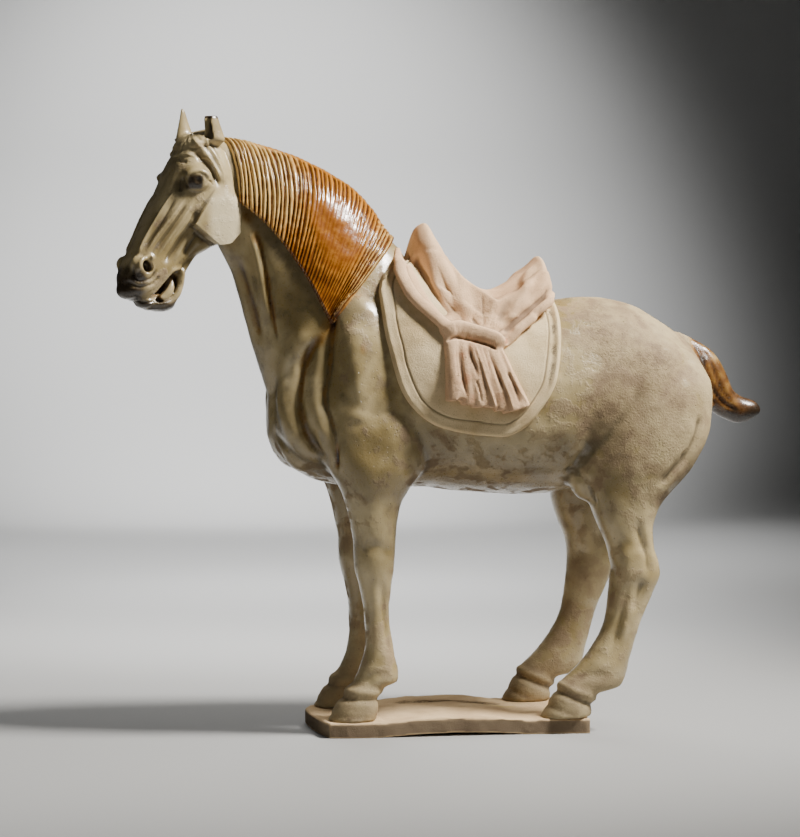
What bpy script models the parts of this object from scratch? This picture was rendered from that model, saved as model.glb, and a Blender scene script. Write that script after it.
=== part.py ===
"""A glazed pottery horse with a draped saddle, standing on the clay slab that it was fired on.

Units are metres and +Z is up. The horse faces -X, and its left side is towards -Y.
The figure was pressed in moulds and luted together while soft, so it is one solid here,
and the slab under its hooves is the other.
"""
import math

import bmesh
import bpy
import numpy as np
from mathutils import Matrix, Vector
from mathutils.bvhtree import BVHTree
from mathutils.kdtree import KDTree

# Driving sizes
HORSE_HEIGHT = 0.481        # soles to the tip of the longer ear
SLAB_THICKNESS = 0.0115
SLAB_RISE = 0.0035          # the slab warped in the kiln, so its middle stands off the table
SLAB_FRONT = 0.0086         # clay left in front of the fore toes
SLAB_OVERHANG = 0.003       # the left hind heel and the outer hoof walls reach past the slab by this much
SLAB_RIPPLE = 0.0006        # uneven top where no hoof stands
ARCH_INSET = 0.002          # from the fore heels and the hind toes to where the slab starts to lift
LUTE_GAP = 0.0003           # between a hoof and the slab
HEAD_TURN = math.radians(22)
HIND_STEP = 0.0105          # the right hind foot stands this far in front of the left one
CLOTH_RELIEF = 0.0032       # saddle cloth above the flank
MANE_RELIEF = 0.0030        # combed hair above the neck
COMB_LINES = 38             # ridges in the mane
COMB_DEPTH = 0.0014

# Every table below is in parts: the horse's height is 481 of them
PART = HORSE_HEIGHT / 481

# Mesh sizes
CORE_VOXEL = 2.2 * PART
SKIN_VOXEL = 1.15 * PART
RING = 28                   # points round a section
BUDGET = {"rest": 5000, "head": 1500, "mane": 2900}    # triangles kept on each
HEAD_LINE = -192            # X in front of which the head has its own share

# Trunk: x, top, underside, half width, power of the section
TRUNK = [
    (-145, 250, 222, 12, 2.0),
    (-139, 274, 208, 30, 2.0),
    (-124, 304, 195, 47, 2.1),
    (-100, 332, 185, 58, 2.2),
    (-72, 352, 180, 63, 2.3),
    (-44, 365, 181, 65, 2.3),
    (-16, 360, 180, 68, 2.2),
    (20, 343, 176, 72, 2.2),
    (56, 333, 174, 74, 2.2),
    (90, 331, 176, 73, 2.2),
    (118, 333, 184, 71, 2.2),
    (146, 328, 195, 68, 2.2),
    (170, 316, 205, 61, 2.1),
    (192, 300, 214, 50, 2.0),
    (208, 280, 226, 34, 2.0),
    (217, 260, 240, 14, 2.0),
]

# Neck: crest x, crest z, throat x, throat z, middle y, half width, power, how much wider below
NECK = [
    (-30, 352, -120, 215, 0, 50, 2.2, 0.10),
    (-38, 369, -138, 238, 0, 50, 2.2, 0.10),
    (-52, 384, -147, 262, 0, 47, 2.1, 0.14),
    (-66, 404, -154, 285, 0, 43, 2.1, 0.18),
    (-84, 420, -161, 308, -1, 38, 2.1, 0.20),
    (-104, 431.5, -167, 330, -1, 34, 2.1, 0.20),
    (-126, 441, -173, 350, -2, 30, 2.1, 0.18),
    (-148, 448, -181, 366, -2, 27, 2.1, 0.14),
    (-168, 453, -189, 381, -3, 25, 2.1, 0.08),
    (-185, 455, -196, 396, -3, 21, 2.0, 0.0),
]

# Head, in its own upright plane from the poll: nose-side x, z, jaw-side x, z, half width, power, width bias
POLL = (-198, -2, 457)
HEAD = [
    (4, 0, -22, -16, 15, 2.0, 0.0),
    (14, -4, -28, -34, 21, 2.3, 0.0),
    (22, -14, -30, -52, 25, 2.6, -0.02),
    (29, -28, -26, -66, 26, 3.0, -0.04),
    (36, -43, -15, -79, 24, 3.0, -0.06),
    (44.5, -58, -3, -88, 21, 3.0, -0.06),
    (52.5, -73, 8, -94, 18, 2.9, -0.04),
    (60.5, -88, 18, -101, 16.5, 2.7, 0.0),
    (67, -100, 29, -108, 17, 2.6, 0.02),
    (72, -111, 41, -119, 16.5, 2.4, 0.0),
    (70, -121, 49, -127, 12.5, 2.1, 0.0),
    (63, -128, 56, -130, 5, 2.0, 0.0),
]
LOWER_JAW = [
    (20, -92, 2, -88, 12, 2.2, 0.0),
    (24, -101, 11, -98, 11.5, 2.2, 0.0),
    (28, -110, 17, -107, 11, 2.2, 0.0),
    (31, -119, 19, -117, 10.5, 2.2, 0.0),
    (36, -128, 24, -129, 10.5, 2.2, 0.0),
    (45, -132, 36, -136, 9, 2.0, 0.0),
    (50, -134, 47, -136, 4, 2.0, 0.0),
]

# Outline of the slab: share of its length from the front, and shares of its half width left and right
SLAB_EDGES = [
    (0.0, 0.09, 0.45),
    (0.012, 0.45, 0.60),
    (0.033, 0.87, 0.75),
    (0.098, 0.917, 0.88),
    (0.284, 0.932, 0.925),
    (0.517, 0.925, 0.962),
    (0.75, 0.94, 0.977),
    (0.914, 0.977, 0.992),
    (0.984, 1.0, 0.985),
    (1.0, 0.985, 0.90),
]

# Legs: z above the soles, front x, back x, y to the left, half width, power
FORE_LEG = [
    (262, -122, -34, -40, 20, 2.2),
    (228, -116, -22, -42, 25, 2.2),
    (200, -104, -26, -43, 24, 2.2),
    (185, -95, -36, -43, 22, 2.2),
    (169, -88.5, -45, -42, 19.5, 2.2),
    (150, -84, -48.5, -42, 17.5, 2.2),
    (137, -82, -49.2, -41.5, 16.5, 2.4),
    (122, -82, -49.8, -41, 16.5, 2.4),
    (104, -77.5, -52.3, -41, 14, 2.2),
    (84, -73.7, -54, -41, 12.5, 2.2),
    (62, -73, -51.5, -41, 12.5, 2.2),
    (48, -75, -49.5, -41, 14, 2.2),
    (37, -79, -46.5, -41, 16, 2.1),
    (30, -82.5, -46.5, -41, 15.5, 2.1),
    (25.5, -86, -58, -41, 14.5, 2.2),
    (20, -91, -61.5, -41, 17, 2.3),
    (8, -98.5, -62.5, -41, 18.5, 2.3),
    (0, -102.4, -64, -41, 20, 2.3),
]
HIND_LEG = [
    (298, 136, 184, -26, 12, 2.0),
    (278, 116, 202, -33, 25, 2.1),
    (258, 105, 208, -39, 30, 2.2),
    (228, 99, 206, -42, 31, 2.2),
    (202, 99, 194, -44, 29, 2.2),
    (185, 102, 181, -46, 25, 2.2),
    (167, 107, 164, -48, 21, 2.2),
    (148, 114, 156.5, -50, 17.5, 2.2),
    (134, 119.5, 157.5, -51, 15.5, 2.2),
    (123, 121.3, 161.5, -52, 15, 2.2),
    (112, 121.5, 163, -52, 14.5, 2.2),
    (98, 120.5, 156.5, -52, 13.5, 2.2),
    (76, 117, 147, -52, 12.5, 2.2),
    (56, 107.5, 141, -52, 13, 2.2),
    (42, 97, 137, -52, 15, 2.1),
    (31, 86, 134.5, -52, 16, 2.1),
    (23, 79, 130, -52, 15.5, 2.1),
    (18.5, 76.5, 111, -52, 16, 2.2),
    (9, 71.5, 108, -51, 17.5, 2.3),
    (0, 66, 106.5, -51, 18.5, 2.3),
]

# Docked tail, tied short: upper x, z, lower x, z, middle y, half width, power, bias
TAIL = [
    (190, 306, 190, 262, 0, 8, 2.0, 0.0),
    (206, 298, 203, 255, 0, 11, 2.0, 0.0),
    (221, 288, 211, 247, 0, 12, 2.0, 0.0),
    (232, 271, 219, 240, 0, 12, 2.0, 0.0),
    (238, 257, 229, 234, 0, 11, 2.0, 0.0),
    (246, 251, 242, 229, 0, 10, 2.0, 0.0),
    (256, 248, 252, 232, 0, 8, 2.0, 0.0),
    (262, 242, 260, 237, 0, 4, 2.0, 0.0),
]

# Rounded masses: centre, radii, turn about Y in degrees, and whether the right side has its like
MASSES = [
    ((-114, -25, 248), (27, 28, 54), 8, True),       # breast
    ((-72, -42, 262), (33, 24, 72), -6, True),       # shoulder
    ((-46, -40, 214), (21, 21, 34), 10, True),       # elbow
    ((150, -36, 252), (45, 34, 54), 14, True),       # haunch
    ((116, -44, 212), (24, 22, 44), 20, True),       # thigh
]

# The same on the head, in its own frame: forward, to the left, up
HEAD_MASSES = [
    ((21, 19, -28), (10, 8, 8), 28, True),           # brow
    ((19.5, 23.5, -36), (7, 4.5, 5), 0, True),       # eyeball
    ((-6, 16, -62), (27, 8.5, 21), 30, True),        # cheek
    ((61, 12, -101), (8.5, 6.5, 10), 35, True),      # rim of the nostril
    ((61, 0, -118), (12.5, 15, 9), 30, False),       # upper lip
    ((37, 0, -130), (13, 10.5, 6.5), 0, False),      # lower lip
    ((38, 0, -113), (13, 8, 10), -40, False),        # tongue
    ((4, 0, -4), (18, 19, 8), 24, False),            # forelock
    ((18, -8, -10), (7, 8, 6), 24, False),           # its brushed end
]

# Creases: width, depth, whether on both sides, and the way over the left side as x, z above the soles
CREASES = [
    (3.6, 4.6, True, [(-99, 314), (-101, 291), (-103, 269), (-105, 249), (-102, 234), (-99, 214), (-97, 202)]),
    (5.0, 2.4, True, [(-110, 309), (-115, 295), (-118, 269), (-115, 234), (-106, 212)]),
    (4.5, 2.6, True, [(-165, 386), (-156, 353), (-150, 322), (-141, 282), (-136, 263)]),
    (4.0, 1.8, True, [(-153, 374), (-145, 345), (-135, 306), (-129, 289)]),
    (6.0, 2.0, True, [(-39, 192), (-44, 203), (-50, 220)]),
    (7.0, 2.4, True, [(92, 184), (102, 196), (108, 215), (112, 235)]),
    (3.0, 1.8, True, [(187, 226), (182, 205), (173, 190)]),
]

# Creases of the head in its own frame: width, depth, and points forward, to the left, up
HEAD_CREASES = [
    (3.4, 6.0, True, [(67, 15, -103), (65, 17, -106)]),                                 # nostril
    (3.0, 6.0, True, [(58, 12, -126), (44, 15, -124), (33, 15, -117), (27, 15, -109)]),  # mouth
    (2.0, 1.6, True, [(25, 27, -31), (18, 29, -31), (12, 28, -35)]),                    # upper lid
    (2.0, 1.4, True, [(24, 27, -42), (18, 28, -42), (12, 27, -38)]),                    # lower lid
    (2.6, 1.8, True, [(29, 22, -44), (45, 19, -74), (58, 17, -94)]),
    (2.6, 1.8, True, [(21, 25, -50), (37, 20, -79), (50, 18, -99)]),
    (2.2, 1.8, True, [(8, 27, -49), (21, 24, -68), (10, 22, -80), (-4, 20, -90)]),      # edge of the cheek
    (2.2, 1.6, True, [(-29, 21, -50), (-26, 22, -62), (-18, 22, -76)]),
]

# Horse cloth: x and z of its hem on the left flank
CLOTH_HEM = [
    (-61.5, 352), (-60.8, 345), (-59.4, 314), (-53.5, 279), (-42.6, 252), (-18.6, 230), (13, 223.5),
    (37, 226.5), (60.5, 243.5), (73.2, 275), (81, 306), (83, 326), (84, 334),
]

# Saddle tree under its cover: x, top, underside, half width, power
SADDLE = [
    (-33.5, 366, 338, 15, 2.0),
    (-31, 374, 330, 22, 2.1),
    (-25, 388, 326, 28, 2.2),
    (-18.5, 391.5, 322, 33, 2.2),
    (-11, 380, 318, 38, 2.2),
    (4, 356, 312, 44, 2.2),
    (31, 338, 306, 47, 2.3),
    (56, 349, 306, 47, 2.3),
    (68, 360, 308, 45, 2.2),
    (74, 365.5, 310, 41, 2.2),
    (78, 356, 314, 36, 2.1),
    (81, 338, 322, 28, 2.0),
]

# Gathered cover between the saddle and its tie: front x, z and rear x, z of each row, top row first
COVER = [
    (-24, 370, 73, 350),
    (-26, 352, 74, 340),
    (-24, 338, 71, 328),
    (-18, 324, 62, 316),
    (-10, 311, 46, 304),
    (-4, 303, 32, 295),
]
COVER_FOLDS = 6
ROLLS = [
    (4.6, [(-46, 366), (-44, 352), (-40, 338), (-33, 326), (-24, 315), (-15, 307)]),
    (3.0, [(74, 334), (69, 322), (60, 311), (48, 303), (36, 296)]),
    (5.4, [(-19, 305), (-10, 306), (2, 304), (13, 300), (24, 295.5), (33, 289)]),
]

# Tied ends of the cover: top x, z, bottom x, z, radius at the top and at the bottom
PLEATS = [
    (-13, 298, -9, 248, 4.0, 8.0),
    (-5, 298, 1, 247, 3.4, 6.0),
    (5, 296, 14, 243, 3.4, 7.0),
    (15, 294, 28, 242, 3.4, 6.0),
    (24, 290, 41, 241, 3.6, 7.5),
]

# Mane, over the rows of the neck: row at the crest and row at the hem, first lock to last
MANE_FIRST = (8.9, 7.25)
MANE_LAST = (1.55, 1.67)
MANE_HEM = 96               # degrees round the neck from its crest


def eased(rows, steps):
    """The rows of a table with steps - 1 more between each two, without overshoot."""
    table = np.array(rows, float)
    slopes = np.diff(table, axis=0)
    tangents = np.zeros_like(table)
    same_way = slopes[:-1] * slopes[1:] > 0
    product = 2 * slopes[:-1] * slopes[1:]
    total = np.where(same_way, slopes[:-1] + slopes[1:], 1)
    tangents[1:-1] = np.where(same_way, product / total, 0)
    tangents[0] = slopes[0]
    tangents[-1] = slopes[-1]
    out = []
    for i in range(len(table) - 1):
        for k in range(steps):
            t = k / steps
            out.append(
                table[i] * (1 + 2 * t) * (1 - t) ** 2
                + tangents[i] * t * (1 - t) ** 2
                + table[i + 1] * t * t * (3 - 2 * t)
                + tangents[i + 1] * t * t * (t - 1)
            )
    out.append(table[-1])
    return np.array(out)


def ring_of(centre, depth, width, power, bias=0.0, count=RING):
    """Points of one section: depth and width are half axes, and bias widens the far end of depth."""
    points = []
    for k in range(count):
        angle = 2 * math.pi * k / count
        c, s = math.cos(angle), math.sin(angle)
        along = math.copysign(abs(c) ** (2 / power), c)
        across = math.copysign(abs(s) ** (2 / power), s)
        points.append(centre + depth * along + width * across * (1 - bias * along))
    return points


def add_loft(bm, rings):
    """A closed skin through rings of equal counts, with a fan on each end."""
    rows = [[bm.verts.new(p) for p in ring] for ring in rings]
    count = len(rows[0])
    for upper, lower in zip(rows, rows[1:]):
        for k in range(count):
            n = (k + 1) % count
            bm.faces.new((upper[k], upper[n], lower[n], lower[k]))
    for row, turned in ((rows[0], True), (rows[-1], False)):
        middle = bm.verts.new(sum((v.co for v in row), Vector()) / count)
        for k in range(count):
            n = (k + 1) % count
            a, b = (row[n], row[k]) if turned else (row[k], row[n])
            bm.faces.new((a, b, middle))


def trunk_rings():
    rings = []
    for x, top, bottom, half, power in eased(TRUNK, 3):
        centre = Vector((x, 0, (top + bottom) / 2)) * PART
        depth = Vector((0, 0, (top - bottom) / 2)) * PART
        rings.append(ring_of(centre, depth, Vector((0, half * PART, 0)), power, 0.06))
    return rings


def paired_rings(table, place=None, steps=3):
    """Rings for rows that give two ends of the depth axis, x and z each, then y, half width, power and bias."""
    rings = []
    for ax, az, bx, bz, y, half, power, bias in eased(table, steps):
        a = Vector((ax, y, az)) * PART
        b = Vector((bx, y, bz)) * PART
        ring = ring_of((a + b) / 2, (a - b) / 2, Vector((0, half * PART, 0)), power, bias)
        rings.append([place @ p for p in ring] if place else ring)
    return rings


def head_place():
    """From the head's own frame, nose along +X, to the horse's."""
    turn = Matrix.Rotation(math.pi + HEAD_TURN, 4, "Z")
    return Matrix.Translation(Vector(POLL) * PART) @ turn


def head_rings(table):
    rows = [(ax, az, bx, bz, 0, half, power, bias) for ax, az, bx, bz, half, power, bias in table]
    return paired_rings(rows, head_place())


def leg_rings(table, side, shift=0.0):
    """Side is -1 for the left legs and 1 for the right."""
    rings = []
    for z, front, back, y, half, power in eased(table, 3):
        fade = min(1.0, max(0.0, (240 - z) / 80))
        centre = Vector(((front + back) / 2 * PART + shift * fade, -side * y * PART, z * PART))
        depth = Vector(((back - front) / 2 * PART, 0, 0))
        rings.append(ring_of(centre, depth, Vector((0, half * PART, 0)), power))
    return rings


def mesh_object(name, bm, collection):
    bmesh.ops.recalc_face_normals(bm, faces=bm.faces)
    mesh = bpy.data.meshes.new(name)
    bm.to_mesh(mesh)
    bm.free()
    obj = bpy.data.objects.new(name, mesh)
    collection.objects.link(obj)
    return obj


def add_mass(bm, centre, radii, turn, place=None):
    """An ellipsoid with its radii along X, Y and Z, turned about Y."""
    shape = Matrix.Diagonal(Vector((*radii, 1 / PART)) * PART)
    spot = Matrix.Translation(Vector(centre) * PART) @ Matrix.Rotation(math.radians(turn), 4, "Y") @ shape
    bmesh.ops.create_icosphere(bm, subdivisions=3, radius=1, matrix=place @ spot if place else spot)


def add_tube(bm, path, radii, count=12):
    """A round bar through the points of path, closed at its ends."""
    rings = []
    for i, point in enumerate(path):
        ahead = (path[min(i + 1, len(path) - 1)] - path[max(i - 1, 0)]).normalized()
        side = ahead.orthogonal().normalized() if i == 0 else (side - ahead * side.dot(ahead)).normalized()
        other = ahead.cross(side)
        rings.append(ring_of(point, side * radii[i], other * radii[i], 2.0, count=count))
    add_loft(bm, rings)


def core_object(collection):
    """Trunk, neck, head, legs and tail run together as one smooth body."""
    bm = bmesh.new()
    add_loft(bm, trunk_rings())
    add_loft(bm, paired_rings(NECK))
    add_loft(bm, paired_rings(TAIL))
    add_loft(bm, head_rings(HEAD))
    add_loft(bm, head_rings(LOWER_JAW))
    for side in (-1, 1):
        add_loft(bm, leg_rings(FORE_LEG, side))
        add_loft(bm, leg_rings(HIND_LEG, side, -HIND_STEP if side > 0 else 0.0))
    for (x, y, z), radii, turn, both in MASSES:
        for side in (1, -1) if both else (1,):
            add_mass(bm, (x, y * side, z), radii, turn)
    place = head_place()
    for (forward, left, up), radii, turn, both in HEAD_MASSES:
        for side in (1, -1) if both else (1,):
            add_mass(bm, (forward, left * side, up), radii, turn, place)
    core = mesh_object("core", bm, collection)
    remesh = core.modifiers.new("one_skin", "REMESH")
    remesh.mode = "VOXEL"
    remesh.voxel_size = CORE_VOXEL
    smooth = core.modifiers.new("soften", "SMOOTH")
    smooth.factor = 0.5
    smooth.iterations = 7
    bake_modifiers(core)
    return core


def bake_modifiers(obj):
    """The object's mesh as its modifiers leave it."""
    graph = bpy.context.evaluated_depsgraph_get()
    mesh = bpy.data.meshes.new_from_object(obj.evaluated_get(graph))
    obj.modifiers.clear()
    obj.data = mesh


def to_line(points, path):
    """Distance of each point from an open line."""
    best = np.full(len(points), np.inf)
    for a, b in zip(path, path[1:]):
        span = b - a
        t = np.clip((points - a) @ span / max(span @ span, 1e-12), 0, 1)
        best = np.minimum(best, np.linalg.norm(points - (a + t[:, None] * span), axis=1))
    return best


def carve(obj, path, width, depth):
    """Presses a soft groove into the skin along a line that lies on it."""
    mesh = obj.data
    points = np.empty(len(mesh.vertices) * 3)
    mesh.vertices.foreach_get("co", points)
    points = points.reshape(-1, 3)
    normals = np.empty(len(mesh.vertices) * 3)
    mesh.vertex_normals.foreach_get("vector", normals)
    normals = normals.reshape(-1, 3)
    path = np.array([tuple(p) for p in path])
    near = np.exp(-((to_line(points, path) / width) ** 2))
    points -= normals * (near * depth)[:, None]
    mesh.vertices.foreach_set("co", points.ravel())
    mesh.update()


def carve_head(obj):
    """The lines of the face."""
    place = head_place()
    for width, depth, both, line in HEAD_CREASES:
        for side in (1, -1) if both else (1,):
            path = [place @ (Vector((f, left * side, up)) * PART) for f, left, up in curve_through(line, 4)]
            carve(obj, path, width * PART, depth * PART)


def mark_regions(obj, mane_points):
    """Vertex groups for the combed hair, the head and the rest."""
    tree = KDTree(len(mane_points))
    for i, point in enumerate(mane_points):
        tree.insert(point, i)
    tree.balance()
    regions = {name: [] for name in BUDGET}
    for vertex in obj.data.vertices:
        if tree.find(vertex.co)[2] < 4 * PART:
            regions["mane"].append(vertex.index)
        elif vertex.co.x < HEAD_LINE * PART:
            regions["head"].append(vertex.index)
        else:
            regions["rest"].append(vertex.index)
    for name, indices in regions.items():
        obj.vertex_groups.new(name=name).add(indices, 1.0, "REPLACE")


def drop(skin, x, z, side):
    """The skin's outermost point at this x and z, on the left for side -1, and its normal."""
    start = Vector((x * PART, side * 300 * PART, z * PART))
    return skin.ray_cast(start, Vector((0, -side, 0)))[:2]


def curve_through(points, steps=6):
    return [tuple(p) for p in eased(points, steps)]


def add_sheet(bm, outer, inner):
    """A closed slab between two grids of points with the same rows and columns."""
    rows, columns = len(outer), len(outer[0])
    top = [[bm.verts.new(p) for p in row] for row in outer]
    low = [[bm.verts.new(p) for p in row] for row in inner]
    for i in range(rows - 1):
        for k in range(columns - 1):
            bm.faces.new((top[i][k], top[i][k + 1], top[i + 1][k + 1], top[i + 1][k]))
            bm.faces.new((low[i][k], low[i + 1][k], low[i + 1][k + 1], low[i][k + 1]))
    rim = [(0, k) for k in range(columns)] + [(i, columns - 1) for i in range(1, rows)]
    rim += [(rows - 1, k) for k in range(columns - 2, -1, -1)] + [(i, 0) for i in range(rows - 2, 0, -1)]
    for (i, k), (m, n) in zip(rim, rim[1:] + rim[:1]):
        bm.faces.new((top[i][k], low[i][k], low[m][n], top[m][n]))


def neck_skin(skin, rows, row, degrees):
    """Where the skin lies round the neck: a row of its table, and degrees from the crest to the left."""
    at = min(max(row, 0), len(NECK) - 1) * rows[1]
    low = int(at)
    line = rows[0][low] + (rows[0][min(low + 1, len(rows[0]) - 1)] - rows[0][low]) * (at - low)
    cx, cz, tx, tz, y, half = line[:6]
    a = Vector((cx, y, cz)) * PART
    b = Vector((tx, y, tz)) * PART
    angle = math.radians(degrees)
    way = (a - b) / 2 * math.cos(angle) + Vector((0, -half * PART, 0)) * math.sin(angle)
    point, normal = skin.ray_cast((a + b) / 2, way.normalized())[:2]
    return point, normal


def add_mane(bm, skin):
    """Combed hair down the left of the neck, its locks drawn together to a point at the shoulder."""
    rows = (eased(NECK, 8), 8)
    steps = COMB_LINES * 4
    outer, inner = [], []
    for i in range(steps + 1):
        s = i / steps
        crest = MANE_FIRST[0] + (MANE_LAST[0] - MANE_FIRST[0]) * s
        hem = MANE_FIRST[1] + (MANE_LAST[1] - MANE_FIRST[1]) * (1 - (1 - s) ** 1.6)
        above, below = [], []
        for k in range(21):
            v = k / 20
            row = crest + (hem - crest) * v ** 1.4
            degrees = -16 + (MANE_HEM + 16) * v
            point, normal = neck_skin(skin, rows, row, degrees)
            pooled = math.exp(-((s - 0.62) / 0.17) ** 2 - ((v - 0.42) / 0.22) ** 2)
            comb = COMB_DEPTH * (1 - 0.9 * pooled) * math.cos(2 * math.pi * COMB_LINES * s)
            gather = 1 - 0.7 * v ** 4 * s
            above.append(point + normal * (MANE_RELIEF + comb * gather))
            below.append(point - normal * MANE_RELIEF)
        outer.append(above)
        inner.append(below)
    add_sheet(bm, outer, inner)
    return [point for row in outer for point in row]


def add_cloth(bm, skin):
    """The cloth over the back and both flanks, with a line pressed along its border."""
    hem = eased(CLOTH_HEM, 8)
    border = np.array([(x, z) for x, z in hem])
    outer, inner = [], []
    columns = 34
    first, last = CLOTH_HEM[0][0], CLOTH_HEM[-1][0]
    for i in range(columns + 1):
        x = (first + last) / 2 - (last - first) / 2 * math.cos(math.pi * i / columns)
        target = np.interp(x, hem[:, 0], hem[:, 1])
        centre = Vector((x, 0, 268)) * PART
        reach = {}
        for side in (-1, 1):
            low, high = 5.0, 150.0
            for _ in range(22):
                middle = (low + high) / 2
                way = Vector((0, side * math.sin(math.radians(middle)), math.cos(math.radians(middle))))
                if skin.ray_cast(centre, way)[0].z > target * PART:
                    low = middle
                else:
                    high = middle
            reach[side] = low
        above, below = [], []
        for k in range(61):
            v = k / 30 - 1
            degrees = abs(v) * reach[-1 if v < 0 else 1]
            way = Vector((0, math.copysign(math.sin(math.radians(degrees)), v), math.cos(math.radians(degrees))))
            point, normal = skin.ray_cast(centre, way)[:2]
            inside = np.min(np.hypot(border[:, 0] - x, border[:, 1] - point.z / PART))
            line = 0.0011 * math.exp(-((inside - 10.5) / 1.6) ** 2)
            above.append(point + normal * (CLOTH_RELIEF - line))
            below.append(point - normal * 0.003)
        outer.append(above)
        inner.append(below)
    add_sheet(bm, outer, inner)


def add_saddle(bm):
    rings = []
    for x, top, bottom, half, power in eased(SADDLE, 3):
        centre = Vector((x, 0, (top + bottom) / 2)) * PART
        depth = Vector((0, 0, (top - bottom) / 2)) * PART
        rings.append(ring_of(centre, depth, Vector((0, half * PART, 0)), power, 0.18))
    add_loft(bm, rings)


def add_cover(bm, skin, side):
    """The gathered cover on one side, its folds running in to the tie."""
    rows = eased(COVER, 3)
    seat = np.array([row[:2] for row in SADDLE])
    columns = COVER_FOLDS * 5
    outer, inner = [], []
    for i, (ax, az, bx, bz) in enumerate(rows):
        v = i / (len(rows) - 1)
        above, below = [], []
        for k in range(columns + 1):
            u = k / columns
            x = ax + (bx - ax) * u
            z = min(az + (bz - az) * u, np.interp(x, seat[:, 0], seat[:, 1]) - 9 - 4 * v)
            point, normal = drop(skin, x, z, side)
            fold = 0.0007 * math.cos(2 * math.pi * COVER_FOLDS * u) * min(1, 0.2 + v)
            broad = 0.0035 * (math.exp(-((u - 0.2) / 0.1) ** 2) + math.exp(-((u - 0.76) / 0.09) ** 2))
            above.append(point + normal * (0.001 + fold + broad * min(1, 0.2 + 2 * v, 1.4 - v) + 0.002 * v))
            below.append(point - normal * 0.004)
        outer.append(above)
        inner.append(below)
    add_sheet(bm, outer, inner)


def add_ties(bm, skin, side):
    """Rolled edges of the cover, the band that ties it, and the pleated ends below."""
    for radius, line in ROLLS:
        path = []
        for x, z in curve_through(line, 3):
            point, normal = drop(skin, x, z, side)
            path.append(point + normal * radius * 0.6 * PART)
        add_tube(bm, path, [radius * PART] * len(path))
    for ax, az, bx, bz, top, bottom in PLEATS:
        path, radii = [], []
        for k in range(9):
            t = k / 8
            point, normal = drop(skin, ax + (bx - ax) * t, az + (bz - az) * t, side)
            path.append(point + normal * (0.0015 + 0.0012 * t))
            radii.append((top + (bottom - top) * t ** 1.5) * PART)
        add_tube(bm, path, radii)


def add_ears(bm, place):
    """Pricked ears; the left one lost its tip."""
    for side, tip, lean in ((1, 15.5, 5.0), (-1, 24, 0.0)):
        rings = []
        for t in (0, 0.2, 0.4, 0.6, 0.8, 0.93, 1.0):
            wide = 8.0 * (1 - t) ** 0.75 + 0.9 if side < 0 else 8.0 - 4.2 * t
            forward = (-6 + lean * t) if side > 0 else (2 + 4 * t)
            centre = Vector((forward, side * (18.5 - 1.0 * t), -9 + (tip + 9) * t)) * PART
            ring = ring_of(centre, Vector((wide * PART, 0, 0)), Vector((0, wide * 0.72 * PART, 0)), 2.2, count=14)
            rings.append([place @ p for p in ring])
        add_loft(bm, rings)


def joined(name, first, bm, collection):
    """One object from a mesh object and the loose shapes in bm."""
    bm.from_mesh(first.data)
    obj = mesh_object(name, bm, collection)
    bpy.data.objects.remove(first)
    return obj


def make_horse(collection):
    core = core_object(collection)
    skin = BVHTree.FromObject(core, bpy.context.evaluated_depsgraph_get())
    for width, depth, both, line in CREASES:
        for side in (-1, 1) if both else (-1,):
            path = [drop(skin, x, z, side)[0] for x, z in curve_through(line, 5)]
            carve(core, [p for p in path if p], width * PART, depth * PART)
    skin = BVHTree.FromObject(core, bpy.context.evaluated_depsgraph_get())
    bm = bmesh.new()
    mane_points = add_mane(bm, skin)
    add_cloth(bm, skin)
    add_saddle(bm)
    add_ears(bm, head_place())
    dressed = joined("dressed", core, bm, collection)
    skin = BVHTree.FromObject(dressed, bpy.context.evaluated_depsgraph_get())
    bm = bmesh.new()
    for side in (-1, 1):
        add_cover(bm, skin, side)
    covered = joined("covered", dressed, bm, collection)
    skin = BVHTree.FromObject(covered, bpy.context.evaluated_depsgraph_get())
    bm = bmesh.new()
    for side in (-1, 1):
        add_ties(bm, skin, side)
    horse = joined("horse", covered, bm, collection)
    remesh = horse.modifiers.new("one_skin", "REMESH")
    remesh.mode = "VOXEL"
    remesh.voxel_size = SKIN_VOXEL
    smooth = horse.modifiers.new("soften", "SMOOTH")
    smooth.factor = 0.5
    smooth.iterations = 2
    bake_modifiers(horse)
    carve_head(horse)
    mark_regions(horse, mane_points)
    return horse


def slab_frame():
    """Front, back and half width of the slab, and where its arch starts and ends, from the hooves on it."""
    fore_hoof, hind_hoof = FORE_LEG[-1], HIND_LEG[-1]
    front = fore_hoof[1] * PART - SLAB_FRONT
    back = hind_hoof[2] * PART - SLAB_OVERHANG
    half = (hind_hoof[3] * -1 + hind_hoof[4]) * PART - SLAB_OVERHANG
    start = fore_hoof[2] * PART + ARCH_INSET
    end = hind_hoof[1] * PART - HIND_STEP - ARCH_INSET
    return front, back, half, start, end


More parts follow.
